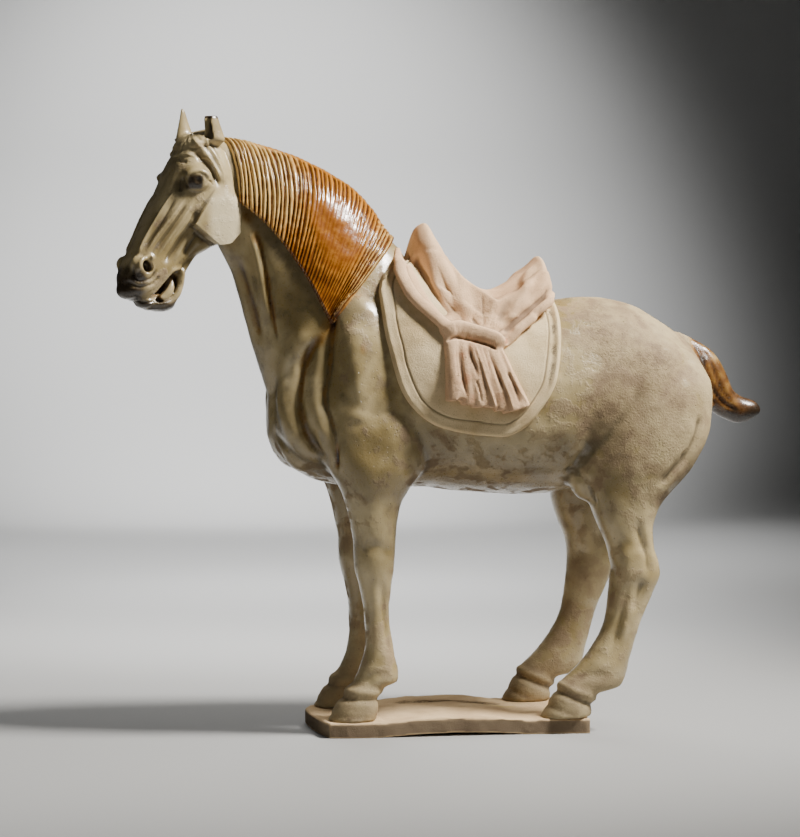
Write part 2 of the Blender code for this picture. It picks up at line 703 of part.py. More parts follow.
def make_slab(collection):
    """A hand-rolled slab that rests on its two ends; its middle lifted in the kiln."""
    front, back, half, start, end = slab_frame()
    table = np.array(SLAB_EDGES)
    outer, inner = [], []
    for i in range(21):
        along = i / 20
        x = front + (back - front) * along
        left, right = (np.interp(along, table[:, 0], table[:, k]) * half for k in (1, 2))
        share = min(1, max(0, (x - start) / (end - start)))
        clear = 4 * share * (1 - share)
        top, low = [], []
        for k in range(7):
            y = -left + (left + right) * k / 6
            lift = SLAB_RISE * clear * (0.75 + 0.5 * k / 6)
            ripple = SLAB_RIPPLE * clear * math.sin(x * 70) * math.cos(y * 55 + 1)
            top.append(Vector((x, y, SLAB_THICKNESS + lift + ripple)))
            low.append(Vector((x, y, lift)))
        outer.append(top)
        inner.append(low)
    bm = bmesh.new()
    add_sheet(bm, outer, inner)
    slab = mesh_object("base_slab", bm, collection)
    soft = slab.modifiers.new("worn_edges", "BEVEL")
    soft.width = 0.0012
    soft.segments = 1
    soft.limit_method = "ANGLE"
    soft.angle_limit = math.radians(40)
    bake_modifiers(slab)
    return slab


def finish(obj, name, colour, roughness, coat):
    """One plain material for the piece."""
    material = bpy.data.materials.new(name)
    material.use_nodes = True
    shader = material.node_tree.nodes["Principled BSDF"]
    shader.inputs["Base Color"].default_value = (*colour, 1)
    shader.inputs["Roughness"].default_value = roughness
    shader.inputs["Metallic"].default_value = 0.0
    shader.inputs["Coat Weight"].default_value = coat
    material.diffuse_color = (*colour, 1)
    obj.data.materials.clear()
    obj.data.materials.append(material)


def lowest(obj):
    return min((obj.matrix_world @ v.co).z for v in obj.data.vertices)


def centre_on_origin(objects):
    """Stands the whole piece on Z = 0 with the middle of its box over the origin."""
    bpy.context.view_layer.update()
    points = np.array([tuple(o.matrix_world @ v.co) for o in objects for v in o.data.vertices])
    low, high = points.min(axis=0), points.max(axis=0)
    shift = Vector((-(low[0] + high[0]) / 2, -(low[1] + high[1]) / 2, -low[2]))
    for obj in objects:
        obj.data.transform(Matrix.Translation(shift) @ obj.matrix_world)
        obj.matrix_world = Matrix()


def triangles(mesh, vertices):
    """Triangles of the mesh, and how many of them touch these vertices."""
    sizes = [(len(p.vertices) - 2, any(v in vertices for v in p.vertices)) for p in mesh.polygons]
    return sum(n for n, _ in sizes), sum(n for n, inside in sizes if inside)


def members(obj, name):
    index = obj.vertex_groups[name].index
    return {v.index for v in obj.data.vertices if any(g.group == index for g in v.groups)}


def reduce_horse(horse):
    """Fewer triangles, shared out between the body, the head and the mane."""
    for name, keep in BUDGET.items():
        total, inside = triangles(horse.data, members(horse, name))
        decimate = horse.modifiers.new("facets_" + name, "DECIMATE")
        decimate.vertex_group = name
        decimate.ratio = (total - inside + keep) / total
        bake_modifiers(horse)


def main():
    for obj in list(bpy.data.objects):
        bpy.data.objects.remove(obj)
    collection = bpy.data.collections.new("pottery_horse")
    bpy.context.scene.collection.children.link(collection)
    horse = make_horse(collection)
    reduce_horse(horse)
    slab = make_slab(collection)
    horse.location.z = SLAB_THICKNESS + LUTE_GAP - lowest(horse)
    finish(horse, "straw_glaze", (0.42, 0.35, 0.20), 0.22, 0.6)
    finish(slab, "buff_clay", (0.55, 0.44, 0.31), 0.85, 0.0)
    centre_on_origin([horse, slab])


main()
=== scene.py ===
"""Looks of a glazed pottery horse with a combed mane and a draped saddle, on its clay slab.

The figure is modelled in parts, of which the horse is 481 tall from its soles to the tip of its longer
ear. X runs from the breast to the tail, -Y is the horse's left, and Z starts at the soles. Each piece is
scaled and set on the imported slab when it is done.
"""
import logging
import math
from dataclasses import dataclass
from enum import Enum

import bmesh
import bpy
import numpy as np
from mathutils import Matrix, Vector
from mathutils.bvhtree import BVHTree


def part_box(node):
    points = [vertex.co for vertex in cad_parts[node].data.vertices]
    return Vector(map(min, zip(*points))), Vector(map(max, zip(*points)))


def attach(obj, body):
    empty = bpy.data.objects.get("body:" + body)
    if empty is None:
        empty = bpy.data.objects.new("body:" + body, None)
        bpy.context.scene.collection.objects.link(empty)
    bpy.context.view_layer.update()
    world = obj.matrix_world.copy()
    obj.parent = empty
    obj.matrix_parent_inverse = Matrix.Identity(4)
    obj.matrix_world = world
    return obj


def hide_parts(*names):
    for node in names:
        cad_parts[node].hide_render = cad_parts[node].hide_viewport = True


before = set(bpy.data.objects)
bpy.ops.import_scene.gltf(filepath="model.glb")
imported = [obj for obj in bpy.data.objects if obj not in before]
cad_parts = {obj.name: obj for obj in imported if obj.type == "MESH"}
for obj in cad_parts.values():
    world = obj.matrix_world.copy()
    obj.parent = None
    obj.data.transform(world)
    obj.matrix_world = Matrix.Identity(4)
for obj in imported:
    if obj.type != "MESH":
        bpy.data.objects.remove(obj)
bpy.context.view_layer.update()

LOG = logging.getLogger("pottery_horse")

Rows = tuple[tuple[float, ...], ...]
Colour = tuple[float, float, float]
Place = tuple[float, float, float]
Material = bpy.types.Material
Mesh = bpy.types.Mesh
Socket = bpy.types.NodeSocket


class Side(Enum):
    """Which side of the horse, as the sign of its Y."""

    LEFT = -1
    RIGHT = 1


class Tint(Enum):
    """What the glaze and the years left on a skin, and the light and shade painted on it, kept at each of
    its points.
    """

    AMBER = "amber"         # iron glaze, from none to a thick brown pool
    WORN = "worn"           # glaze lost to a matt surface
    HOLLOW = "hollow"       # above 0 in a hollow, below 0 on a ridge; on the slab's sides it paints shade
    RIDGE = "ridge"         # a comb's ridge at 1 and its groove at 0
    PALE_AND_LIT = "pale"           # thin glaze, and painted light: the highlight on the breast's ridge, the cheek plates and the mane's beads
    CRUST = "crust"         # burial crust and grit
    DARK = "dark"           # glaze burnt dark, and painted shade in holes, grooves, under the belly and low on the legs


@dataclass(frozen=True)
class Stance:
    """The driving sizes in metres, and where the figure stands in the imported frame."""

    height: float = 0.481
    slab_thickness: float = 0.0115
    lute_gap: float = 0.0003
    slab_front: float = 0.0086
    slab_overhang: float = 0.003

    @property
    def part(self) -> float:
        """One part in metres."""
        return self.height / 481

    def shift(self, fore_toe: float, hoof_wall: float) -> Vector:
        """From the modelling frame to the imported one.

        Args:
            fore_toe: X of the fore toes, in parts.
            hoof_wall: how far a hind hoof reaches out from the middle plane, in parts.

        Returns:
            The shift in metres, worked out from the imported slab's front and left edges.
        """
        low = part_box("base_slab")[0]
        front = fore_toe * self.part - self.slab_front
        left = -(hoof_wall * self.part - self.slab_overhang)
        return Vector((low.x - front, low.y - left, self.slab_thickness + self.lute_gap))


@dataclass(frozen=True)
class Stroke:
    """One stroke of the modelling tool along a path on the skin.

    A positive depth presses in and a negative one raises. Stain is how much iron glaze ran into it; it also
    darkens the stroke's middle, which on some strokes is painted shade.
    Taper is the share of the path over which each end runs out.
    """

    width: float
    depth: float
    path: Rows
    stain: float = 0.0
    taper: float = 0.12


def eased(rows: Rows, steps: int) -> np.ndarray:
    """The rows of a table with more between each two, without overshoot.

    Args:
        rows: the table's rows.
        steps: how many rows each gap is split into.

    Returns:
        The finer table.
    """
    table = np.array(rows, float)
    slopes = np.diff(table, axis=0)
    tangents = np.zeros_like(table)
    same_way = slopes[:-1] * slopes[1:] > 0
    total = np.where(same_way, slopes[:-1] + slopes[1:], 1)
    tangents[1:-1] = np.where(same_way, 2 * slopes[:-1] * slopes[1:] / total, 0)
    tangents[0], tangents[-1] = slopes[0], slopes[-1]
    out = []
    for i in range(len(table) - 1):
        for k in range(steps):
            t = k / steps
            out.append(
                table[i] * (1 + 2 * t) * (1 - t) ** 2
                + tangents[i] * t * (1 - t) ** 2
                + table[i + 1] * t * t * (3 - 2 * t)
                + tangents[i + 1] * t * t * (t - 1)
            )
    out.append(table[-1])
    return np.array(out)


def step(values: np.ndarray, low: float, high: float) -> np.ndarray:
    """A smooth step from 0 at low to 1 at high; it falls where low is the larger."""
    t = np.clip((values - low) / (high - low), 0, 1)
    return t * t * (3 - 2 * t)


def bell(values: np.ndarray, middle: float, width: float) -> np.ndarray:
    """A rounded hump of height 1."""
    return np.exp(-(((values - middle) / width) ** 2))


def patch(across: np.ndarray, up: np.ndarray, wide: float, tall: float, power: int = 2) -> np.ndarray:
    """A rounded patch of height 1 round 0, 0; a higher power gives it a sharper edge."""
    return np.exp(-((across / wide) ** power + (up / tall) ** power))


def rolled_edge(inside: np.ndarray, radius: float) -> np.ndarray:
    """A quarter-round edge: 0 at the rim, and 1 from that radius inwards."""
    return np.sqrt(np.clip(1 - (1 - np.clip(inside / radius, 0, 1)) ** 2, 0, 1))


def run_along(grid: np.ndarray, axis: int) -> np.ndarray:
    """How far along an axis of a grid each of its points lies from the first."""
    gaps = np.linalg.norm(np.diff(grid, axis=axis), axis=2)
    return np.insert(np.cumsum(gaps, axis=axis), 0, 0, axis=axis)


def ripples(points: np.ndarray, length: float, seed: int) -> np.ndarray:
    """Soft unevenness from crossed waves.

    Args:
        points: where it is read, one row each.
        length: rough size of its humps.
        seed: which pattern.

    Returns:
        Values that stay near -1 to 1.
    """
    draw = np.random.RandomState(seed)
    total = np.zeros(len(points))
    for _ in range(7):
        way = draw.normal(size=points.shape[1])
        way *= 2 * math.pi / (length * draw.uniform(0.7, 1.9) * np.linalg.norm(way))
        total += np.sin(points @ way + draw.uniform(0, 2 * math.pi))
    return total / 3.2


def section(centre: np.ndarray, depth: np.ndarray, width: np.ndarray, power: float, bias: float = 0.0,
            count: int = 44) -> np.ndarray:
    """Points of one rounded section.

    Args:
        centre: its middle.
        depth: its first half axis.
        width: its second half axis.
        power: 2 for an ellipse, more for a squarer one.
        bias: how much wider it gets towards the far end of depth.
        count: how many points.

    Returns:
        The points in order, one row each.
    """
    angle = np.arange(count) * 2 * math.pi / count
    along = np.copysign(np.abs(np.cos(angle)) ** (2 / power), np.cos(angle))
    across = np.copysign(np.abs(np.sin(angle)) ** (2 / power), np.sin(angle))
    return centre + np.outer(along, depth) + np.outer(across * (1 - bias * along), width)


def paired_sections(rows: Rows) -> list[np.ndarray]:
    """Sections for rows of both ends of the depth axis, x and z, then y, half width, power and bias.

    Args:
        rows: the table.

    Returns:
        The sections in order.
    """
    out = []
    for ax, az, bx, bz, y, half, power, bias in eased(rows, 4):
        a, b = np.array((ax, y, az)), np.array((bx, y, bz))
        out.append(section((a + b) / 2, (a - b) / 2, np.array((0, half, 0)), power, bias))
    return out


def upright_sections(rows: Rows, steps: int, bias: float) -> list[np.ndarray]:
    """Sections across the horse for rows of x, top, bottom, half width and power.

    Args:
        rows: the table.
        steps: how many sections each gap is split into.
        bias: how much wider they get downwards.

    Returns:
        The sections in order.
    """
    out = []
    for x, top, bottom, half, power in eased(rows, steps):
        centre, depth = np.array((x, 0, (top + bottom) / 2)), np.array((0, 0, (top - bottom) / 2))
        out.append(section(centre, depth, np.array((0, half, 0)), power, bias))
    return out


class Lumps:
    """Loose closed shapes that are fused into one skin later."""

    def __init__(self) -> None:
        """Starts with nothing."""
        self.bm = bmesh.new()

    def loft(self, rings: list[np.ndarray]) -> None:
        """Adds a closed skin through rings of equal counts, with a fan on each end.

        Args:
            rings: the sections in order.
        """
        rows = [[self.bm.verts.new(p) for p in ring] for ring in rings]
        count = len(rows[0])
        for upper, lower in zip(rows, rows[1:]):
            for k in range(count):
                n = (k + 1) % count
                self.bm.faces.new((upper[k], upper[n], lower[n], lower[k]))
        for row in (rows[0][::-1], rows[-1]):
            middle = self.bm.verts.new(sum((v.co for v in row), Vector()) / count)
            for k in range(count):
                self.bm.faces.new((row[k], row[(k + 1) % count], middle))

    def ball(self, centre: tuple[float, ...], radii: tuple[float, ...], turn: float = 0.0) -> None:
        """Adds an ellipsoid with its radii along X, Y and Z, turned about Y by that many degrees.

        Args:
            centre: its middle.
            radii: along X, Y and Z before the turn.
            turn: in degrees.
        """
        shape = Matrix.Diagonal(Vector((*radii, 1)))
        spot = Matrix.Translation(Vector(centre)) @ Matrix.Rotation(math.radians(turn), 4, "Y") @ shape
        bmesh.ops.create_icosphere(self.bm, subdivisions=4, radius=1, matrix=spot)

    def tube(self, path: list[Vector], radii: list[float], flat: float = 1.0, count: int = 18) -> None:
        """Adds a closed bar.

        Args:
            path: the points that it runs through.
            radii: its radius at each.
            flat: height over width of its section.
            count: points round it.
        """
        rings = []
        side = Vector()
        for i, point in enumerate(path):
            ahead = (path[min(i + 1, len(path) - 1)] - path[max(i - 1, 0)]).normalized()
            if i == 0:
                side = ahead.cross(Vector((0, 1, 0))).normalized()
            side = (side - ahead * side.dot(ahead)).normalized()
            over = ahead.cross(side)
            wide, high = np.array(side) * radii[i], np.array(over) * radii[i] * flat
            rings.append(section(np.array(point), wide, high, 2.0, count=count))
        self.loft(rings)

    def sheet(self, outer: np.ndarray, inner: np.ndarray, closed: bool = True) -> None:
        """Adds a slab between two grids of points, each of rows x columns x 3.

        Args:
            outer: the side that shows.
            inner: the side below it.
            closed: without it only the rim of the inner side is made, which is enough for a sheet that
                lies on a skin.
        """
        rows, columns = outer.shape[:2]
        top = [[self.bm.verts.new(p) for p in row] for row in outer]
        for i in range(rows - 1):
            for k in range(columns - 1):
                self.bm.faces.new((top[i][k], top[i][k + 1], top[i + 1][k + 1], top[i + 1][k]))
        rim = [(0, k) for k in range(columns)] + [(i, columns - 1) for i in range(1, rows)]
        rim += [(rows - 1, k) for k in range(columns - 2, -1, -1)]
        rim += [(i, 0) for i in range(rows - 2, 0, -1)]
        spots = [(i, k) for i in range(rows) for k in range(columns)] if closed else rim
        low = {spot: self.bm.verts.new(inner[spot]) for spot in spots}
        for here, there in zip(rim, rim[1:] + rim[:1]):
            self.bm.faces.new((top[here[0]][here[1]], low[here], low[there], top[there[0]][there[1]]))
        if closed:
            for i in range(rows - 1):
                for k in range(columns - 1):
                    self.bm.faces.new((low[i, k], low[i + 1, k], low[i + 1, k + 1], low[i, k + 1]))

    def add_mesh(self, mesh: Mesh) -> None:
        """Adds a mesh as it is."""
        self.bm.from_mesh(mesh)

    def mesh(self, name: str) -> Mesh:
        """The loose shapes as one mesh; the lumps are used up.

        Args:
            name: what it is called.

        Returns:
            The new mesh.
        """
        bmesh.ops.recalc_face_normals(self.bm, faces=self.bm.faces)
        made = bpy.data.meshes.new(name)
        self.bm.to_mesh(made)
        self.bm.free()
        return made

    def fused(self, name: str, voxel: float, rounds: int) -> Mesh:
        """One even skin over the shapes.

        Args:
            name: what the mesh is called.
            voxel: size of its faces.
            rounds: how often it is smoothed.

        Returns:
            The mesh; the lumps are used up.
        """
        obj = bpy.data.objects.new(name, self.mesh(name))
        bpy.context.scene.collection.objects.link(obj)
        remesh = obj.modifiers.new("one_skin", "REMESH")
        remesh.mode = "VOXEL"
        remesh.voxel_size = voxel
        if rounds:
            smooth = obj.modifiers.new("soften", "SMOOTH")
            smooth.factor = 0.5
            smooth.iterations = rounds
        return settle(obj)


def settle(obj: bpy.types.Object) -> Mesh:
    """The mesh that an object's modifiers make; the object goes.

    Args:
        obj: what carries the modifiers.

    Returns:
        The new mesh.
    """
    graph = bpy.context.evaluated_depsgraph_get()
    made = bpy.data.meshes.new_from_object(obj.evaluated_get(graph))
    bpy.data.objects.remove(obj)
    return made


def hollowed(mesh: Mesh, tools: Mesh) -> Mesh:
    """The first mesh with the second cut away from it.

    Args:
        mesh: what is cut.
        tools: what cuts it.

    Returns:
        The cut mesh.
    """
    body = bpy.data.objects.new("body", mesh)
    cutter = bpy.data.objects.new("cutter", tools)
    for obj in (body, cutter):
        bpy.context.scene.collection.objects.link(obj)
    cut = body.modifiers.new("hollow", "BOOLEAN")
    cut.operation = "DIFFERENCE"
    cut.object = cutter
    made = settle(body)
    bpy.data.objects.remove(cutter)
    return made


def surface_of(*meshes: Mesh) -> BVHTree:
    """One search tree over some meshes.

    Args:
        meshes: all that is searched.

    Returns:
        The tree.
    """
    bm = bmesh.new()
    for mesh in meshes:
        bm.from_mesh(mesh)
    tree = BVHTree.FromBMesh(bm)
    bm.free()
    return tree


def flank(skin: BVHTree, x: float, z: float, side: Side) -> tuple[Vector, Vector]:
    """The skin's outermost point at this x and z on one side, and its normal there."""
    found = skin.ray_cast(Vector((x, side.value * 300, z)), Vector((0, -side.value, 0)))
    return found[0], found[1]


class Clay:
    """A skin being worked: its mesh, the tool strokes on it and the tints at its points."""

    def __init__(self, mesh: Mesh) -> None:
        """Takes over the mesh.

        Args:
            mesh: the skin to work.
        """
        self.mesh = mesh
        self.points = np.empty(len(mesh.vertices) * 3)
        mesh.vertices.foreach_get("co", self.points)
        self.points = self.points.reshape(-1, 3)
        edges = np.empty(len(mesh.edges) * 2, np.int32)
        mesh.edges.foreach_get("vertices", edges)
        self.edges = edges.reshape(-1, 2)
        count = len(self.points)
        self.degree = np.maximum(np.bincount(self.edges.ravel(), minlength=count), 1)
        self.tints = {tint: np.zeros(count) for tint in Tint}

    def normals(self) -> np.ndarray:
        """The skin's direction at each point.

        Returns:
            Unit vectors, one row each.
        """
        self.write()
        out = np.empty(len(self.points) * 3)
        self.mesh.vertex_normals.foreach_get("vector", out)
        return out.reshape(-1, 3)

    def write(self) -> None:
        """Puts the points back in the mesh."""
        self.mesh.vertices.foreach_set("co", self.points.ravel())
        self.mesh.update()

    def mean_of_neighbours(self, values: np.ndarray) -> np.ndarray:
        """Each point's mean over the points that it shares an edge with.

        Args:
            values: one row for each point.

        Returns:
            The means, in the same shape.
        """
        a, b = self.edges.T
        count = len(self.points)
        columns = values.reshape(count, -1)
        out = np.empty_like(columns)
        for k in range(columns.shape[1]):
            column = columns[:, k]
            out[:, k] = np.bincount(a, column[b], count) + np.bincount(b, column[a], count)
        return (out / self.degree[:, None]).reshape(values.shape)

    def fair(self, share: float) -> None:
        """Smooths the skin once, by this share."""
        self.points += (self.mean_of_neighbours(self.points) - self.points) * share

    def press(self, *waves: tuple[float, int, float]) -> None:
        """Leaves the hand's unevenness, by each wave's length, pattern and height."""
        rise = sum(ripples(self.points, length, seed) * height for length, seed, height in waves)
        self.points += self.normals() * rise[:, None]

    def lie_of(self, rounds: int, reach: float) -> np.ndarray:
        """How deep each point lies below its surroundings.

        Args:
            rounds: how far the surroundings go.
            reach: the depth, in parts, that counts as 1.

        Returns:
            Above 0 in a hollow, below 0 on a ridge, within -1 to 1.
        """
        normals = self.normals()
        wide = self.points.copy()
        for _ in range(rounds):
            wide += (self.mean_of_neighbours(wide) - wide) * 0.8
        return np.clip(np.einsum("ij,ij->i", wide - self.points, normals) / reach, -1, 1)

    def weight_along(self, path: np.ndarray, width: float, taper: float) -> tuple[np.ndarray, np.ndarray]:
        """How strongly a tool drawn along a line works on the points near it.

        Args:
            path: the line's points.
            width: half the width of the tool.
            taper: the share of the line over which each end runs out.

        Returns:
            Which points it reaches, and its weight at each.
        """
        reach = width * 2.4
        low, high = path.min(0) - reach, path.max(0) + reach
        some = np.flatnonzero(np.all((self.points > low) & (self.points < high), axis=1))
        points = self.points[some]
        best, share = np.full(len(some), np.inf), np.zeros(len(some))
        last = len(path) - 1
        for i, (a, b) in enumerate(zip(path, path[1:])):
            span = b - a
            t = np.clip((points - a) @ span / max(span @ span, 1e-9), 0, 1)
            far = np.linalg.norm(points - a - t[:, None] * span, axis=1)
            closer = far < best
            best[closer], share[closer] = far[closer], (i + t[closer]) / last
        weight = np.exp(-((best / width) ** 2))
        if taper:
            weight *= step(share, -0.02, taper) * step(1 - share, -0.02, taper)
        return some, weight

    def stroke(self, mark: Stroke, paths: list[np.ndarray]) -> None:
        """Draws one stroke along each of its paths on the skin.

        Args:
            mark: the stroke.
            paths: the lines that it follows.
        """
        normals = self.normals()
        for path in paths:
            some, weight = self.weight_along(path, mark.width, mark.taper)
            self.points[some] -= normals[some] * (weight * mark.depth)[:, None]
            # The stain lays iron glaze along the stroke and darkens its middle, which on some strokes is
            # painted shade
            if mark.stain:
                self.tints[Tint.AMBER][some] += weight * mark.stain
                self.tints[Tint.DARK][some] += weight ** 3 * mark.stain

    def stroke_flanks(self, marks: tuple[Stroke, ...]) -> None:
        """Draws strokes on both flanks, along paths given by x and z.

        Args:
            marks: the strokes in order.
        """
        skin = surface_of(self.mesh)
        for mark in marks:
            paths = []
            for side in Side:
                hits = [flank(skin, x, z, side)[0] for x, z in eased(mark.path, 4)]
                paths.append(np.array([tuple(p) for p in hits if p]))
            self.stroke(mark, [path for path in paths if len(path) > 1])

    def to_piece(self, name: str, stance: Stance, shift: Vector, node: str) -> bpy.types.Object:
        """The finished piece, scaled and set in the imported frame.

        Args:
            name: the piece's name.
            stance: gives the size of a part.
            shift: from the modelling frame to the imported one, in metres.
            node: the CAD node that it stands for.

        Returns:
            The new object, riding on the root body.
        """
        self.points = self.points * stance.part + np.array(shift)
        self.write()
        self.mesh.name = name
        for tint, values in self.tints.items():
            layer = self.mesh.attributes.new(tint.value, "FLOAT", "POINT")
            layer.data.foreach_set("value", values.astype(np.float32))
        self.mesh.shade_smooth()
        piece = bpy.data.objects.new(name, self.mesh)
        bpy.context.scene.collection.objects.link(piece)
        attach(piece, "root")
        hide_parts(node)
        return piece


class Nodes:
    """A material being wired, with short calls for the nodes that the finishes share."""

    def __init__(self, name: str) -> None:
        """Makes the material with its shader and output.

        Args:
            name: what the material is called.
        """
        self.material = bpy.data.materials.new(name)
        self.material.use_nodes = True
        self.tree = self.material.node_tree
        self.tree.nodes.clear()
        self.shader = self.tree.nodes.new("ShaderNodeBsdfPrincipled")
        out = self.tree.nodes.new("ShaderNodeOutputMaterial")
        self.tree.links.new(self.shader.outputs["BSDF"], out.inputs["Surface"])
        self.place = self.tree.nodes.new("ShaderNodeTexCoord").outputs["Object"]

    def link(self, value: object, socket: Socket) -> None:
        """Wires a socket or sets a plain value.

        Args:
            value: a socket, a number or a colour.
            socket: where it goes in.
        """
        if isinstance(value, Socket):
            self.tree.links.new(value, socket)
        elif isinstance(value, tuple) and len(value) == 3 and socket.type == "RGBA":
            socket.default_value = (*value, 1)
        else:
            socket.default_value = value

    def tint(self, tint: Tint) -> Socket:
        """One of the tints at the skin's points.

        Args:
            tint: which one.

        Returns:
            Its value.
        """
        node = self.tree.nodes.new("ShaderNodeAttribute")
        node.attribute_name = tint.value
        return node.outputs["Fac"]

    def noise(self, size: float, detail: float = 4.0, rough: float = 0.55) -> Socket:
        """Cloudy values round 0.5, with humps of this size in metres.

        Args:
            size: of a hump.
            detail: how many finer layers it has.
            rough: how strong those are.

        Returns:
            The values.
        """
        node = self.tree.nodes.new("ShaderNodeTexNoise")
        self.link(self.place, node.inputs["Vector"])
        node.inputs["Scale"].default_value = 1 / size
        node.inputs["Detail"].default_value = detail
        node.inputs["Roughness"].default_value = rough
        return node.outputs["Fac"]

    def cells(self, size: float) -> Socket:
        """Distance to scattered points, for cells of this size in metres.

        Args:
            size: of a cell.

        Returns:
            The distances.
        """
        node = self.tree.nodes.new("ShaderNodeTexVoronoi")
        self.link(self.place, node.inputs["Vector"])
        node.inputs["Scale"].default_value = 1 / size
        return node.outputs["Distance"]

    def range(self, value: object, low: float, high: float, start: float = 0.0, end: float = 1.0) -> Socket:
        """A smooth step of a value between low and high, from start to end.

        Args:
            value: what is read.
            low: where the step starts.
            high: where it ends.
            start: what it gives up to low.
            end: what it gives from high.

        Returns:
            The stepped value.
        """
        node = self.tree.nodes.new("ShaderNodeMapRange")
        node.interpolation_type = "SMOOTHSTEP"
        for socket, item in zip(node.inputs, (value, low, high, start, end)):
            self.link(item, socket)
        return node.outputs["Result"]

    def worked(self, how: str, a: object, b: object) -> Socket:
        """Two values worked together in the way that Blender's Math node names.

        Args:
            how: the node's operation.
            a: the first value.
            b: the second value.

        Returns:
            The result.
        """
        node = self.tree.nodes.new("ShaderNodeMath")
        node.operation = how
        self.link(a, node.inputs[0])
        self.link(b, node.inputs[1])
        return node.outputs[0]

    def plus(self, a: object, b: object) -> Socket:
        """Both values added."""
        return self.worked("ADD", a, b)

    def minus(self, a: object, b: object) -> Socket:
        """The second value taken from the first."""
        return self.worked("SUBTRACT", a, b)

    def times(self, a: object, b: object) -> Socket:
        """Both values multiplied."""
        return self.worked("MULTIPLY", a, b)

    def mix(self, share: object, a: object, b: object) -> Socket:
        """Colour a turning into colour b as share goes from 0 to 1.

        Args:
            share: how much of b shows.
            a: the colour at 0.
            b: the colour at 1.

        Returns:
            The mixed colour.
        """
        node = self.tree.nodes.new("ShaderNodeMix")
        node.data_type = "RGBA"
        for socket, item in ((0, share), (6, a), (7, b)):
            self.link(item, node.inputs[socket])
        return node.outputs[2]

    def washes(self, colour: Socket, *coats: tuple[Socket, float, float, float, object]) -> Socket:
        """Lays thin coats over a colour.

        Args:
            colour: what lies below.
            coats: for each, the value it follows, where it starts and is full, its most, and its colour.

        Returns:
            The colour with all of them on it.
        """
        for value, low, high, most, over in coats:
            colour = self.mix(self.range(value, low, high, 0, most), colour, over)
        return colour

    def bump(self, height: object, distance: float, strength: float, over: Socket | None = None) -> Socket:
        """The skin's direction with a fine relief of this depth in metres on it.

        Args:
            height: the relief.
            distance: its depth.
            strength: how much of it counts.
            over: a coarser relief below it.

        Returns:
            The direction.
        """
        node = self.tree.nodes.new("ShaderNodeBump")
        node.inputs["Distance"].default_value = distance
        node.inputs["Strength"].default_value = strength
        self.link(height, node.inputs["Height"])
        if over is not None:
            self.link(over, node.inputs["Normal"])
        return node.outputs["Normal"]

    def done(self, colour: object, roughness: object, normal: object, coat: object = 0.0,
             coat_roughness: float = 0.12) -> Material:
        """Wires the shader and gives the material.

        Args:
            colour: of the surface.
            roughness: of the surface.
            normal: the direction with its relief.
            coat: how much clear glaze lies on top.
            coat_roughness: how soft that glaze shines.

        Returns:
            The material.
        """
        self.link(colour, self.shader.inputs["Base Color"])
        self.link(roughness, self.shader.inputs["Roughness"])
        self.link(normal, self.shader.inputs["Normal"])
        self.link(coat, self.shader.inputs["Coat Weight"])
        self.shader.inputs["Coat Roughness"].default_value = coat_roughness
        self.shader.inputs["IOR"].default_value = 1.5
        return self.material


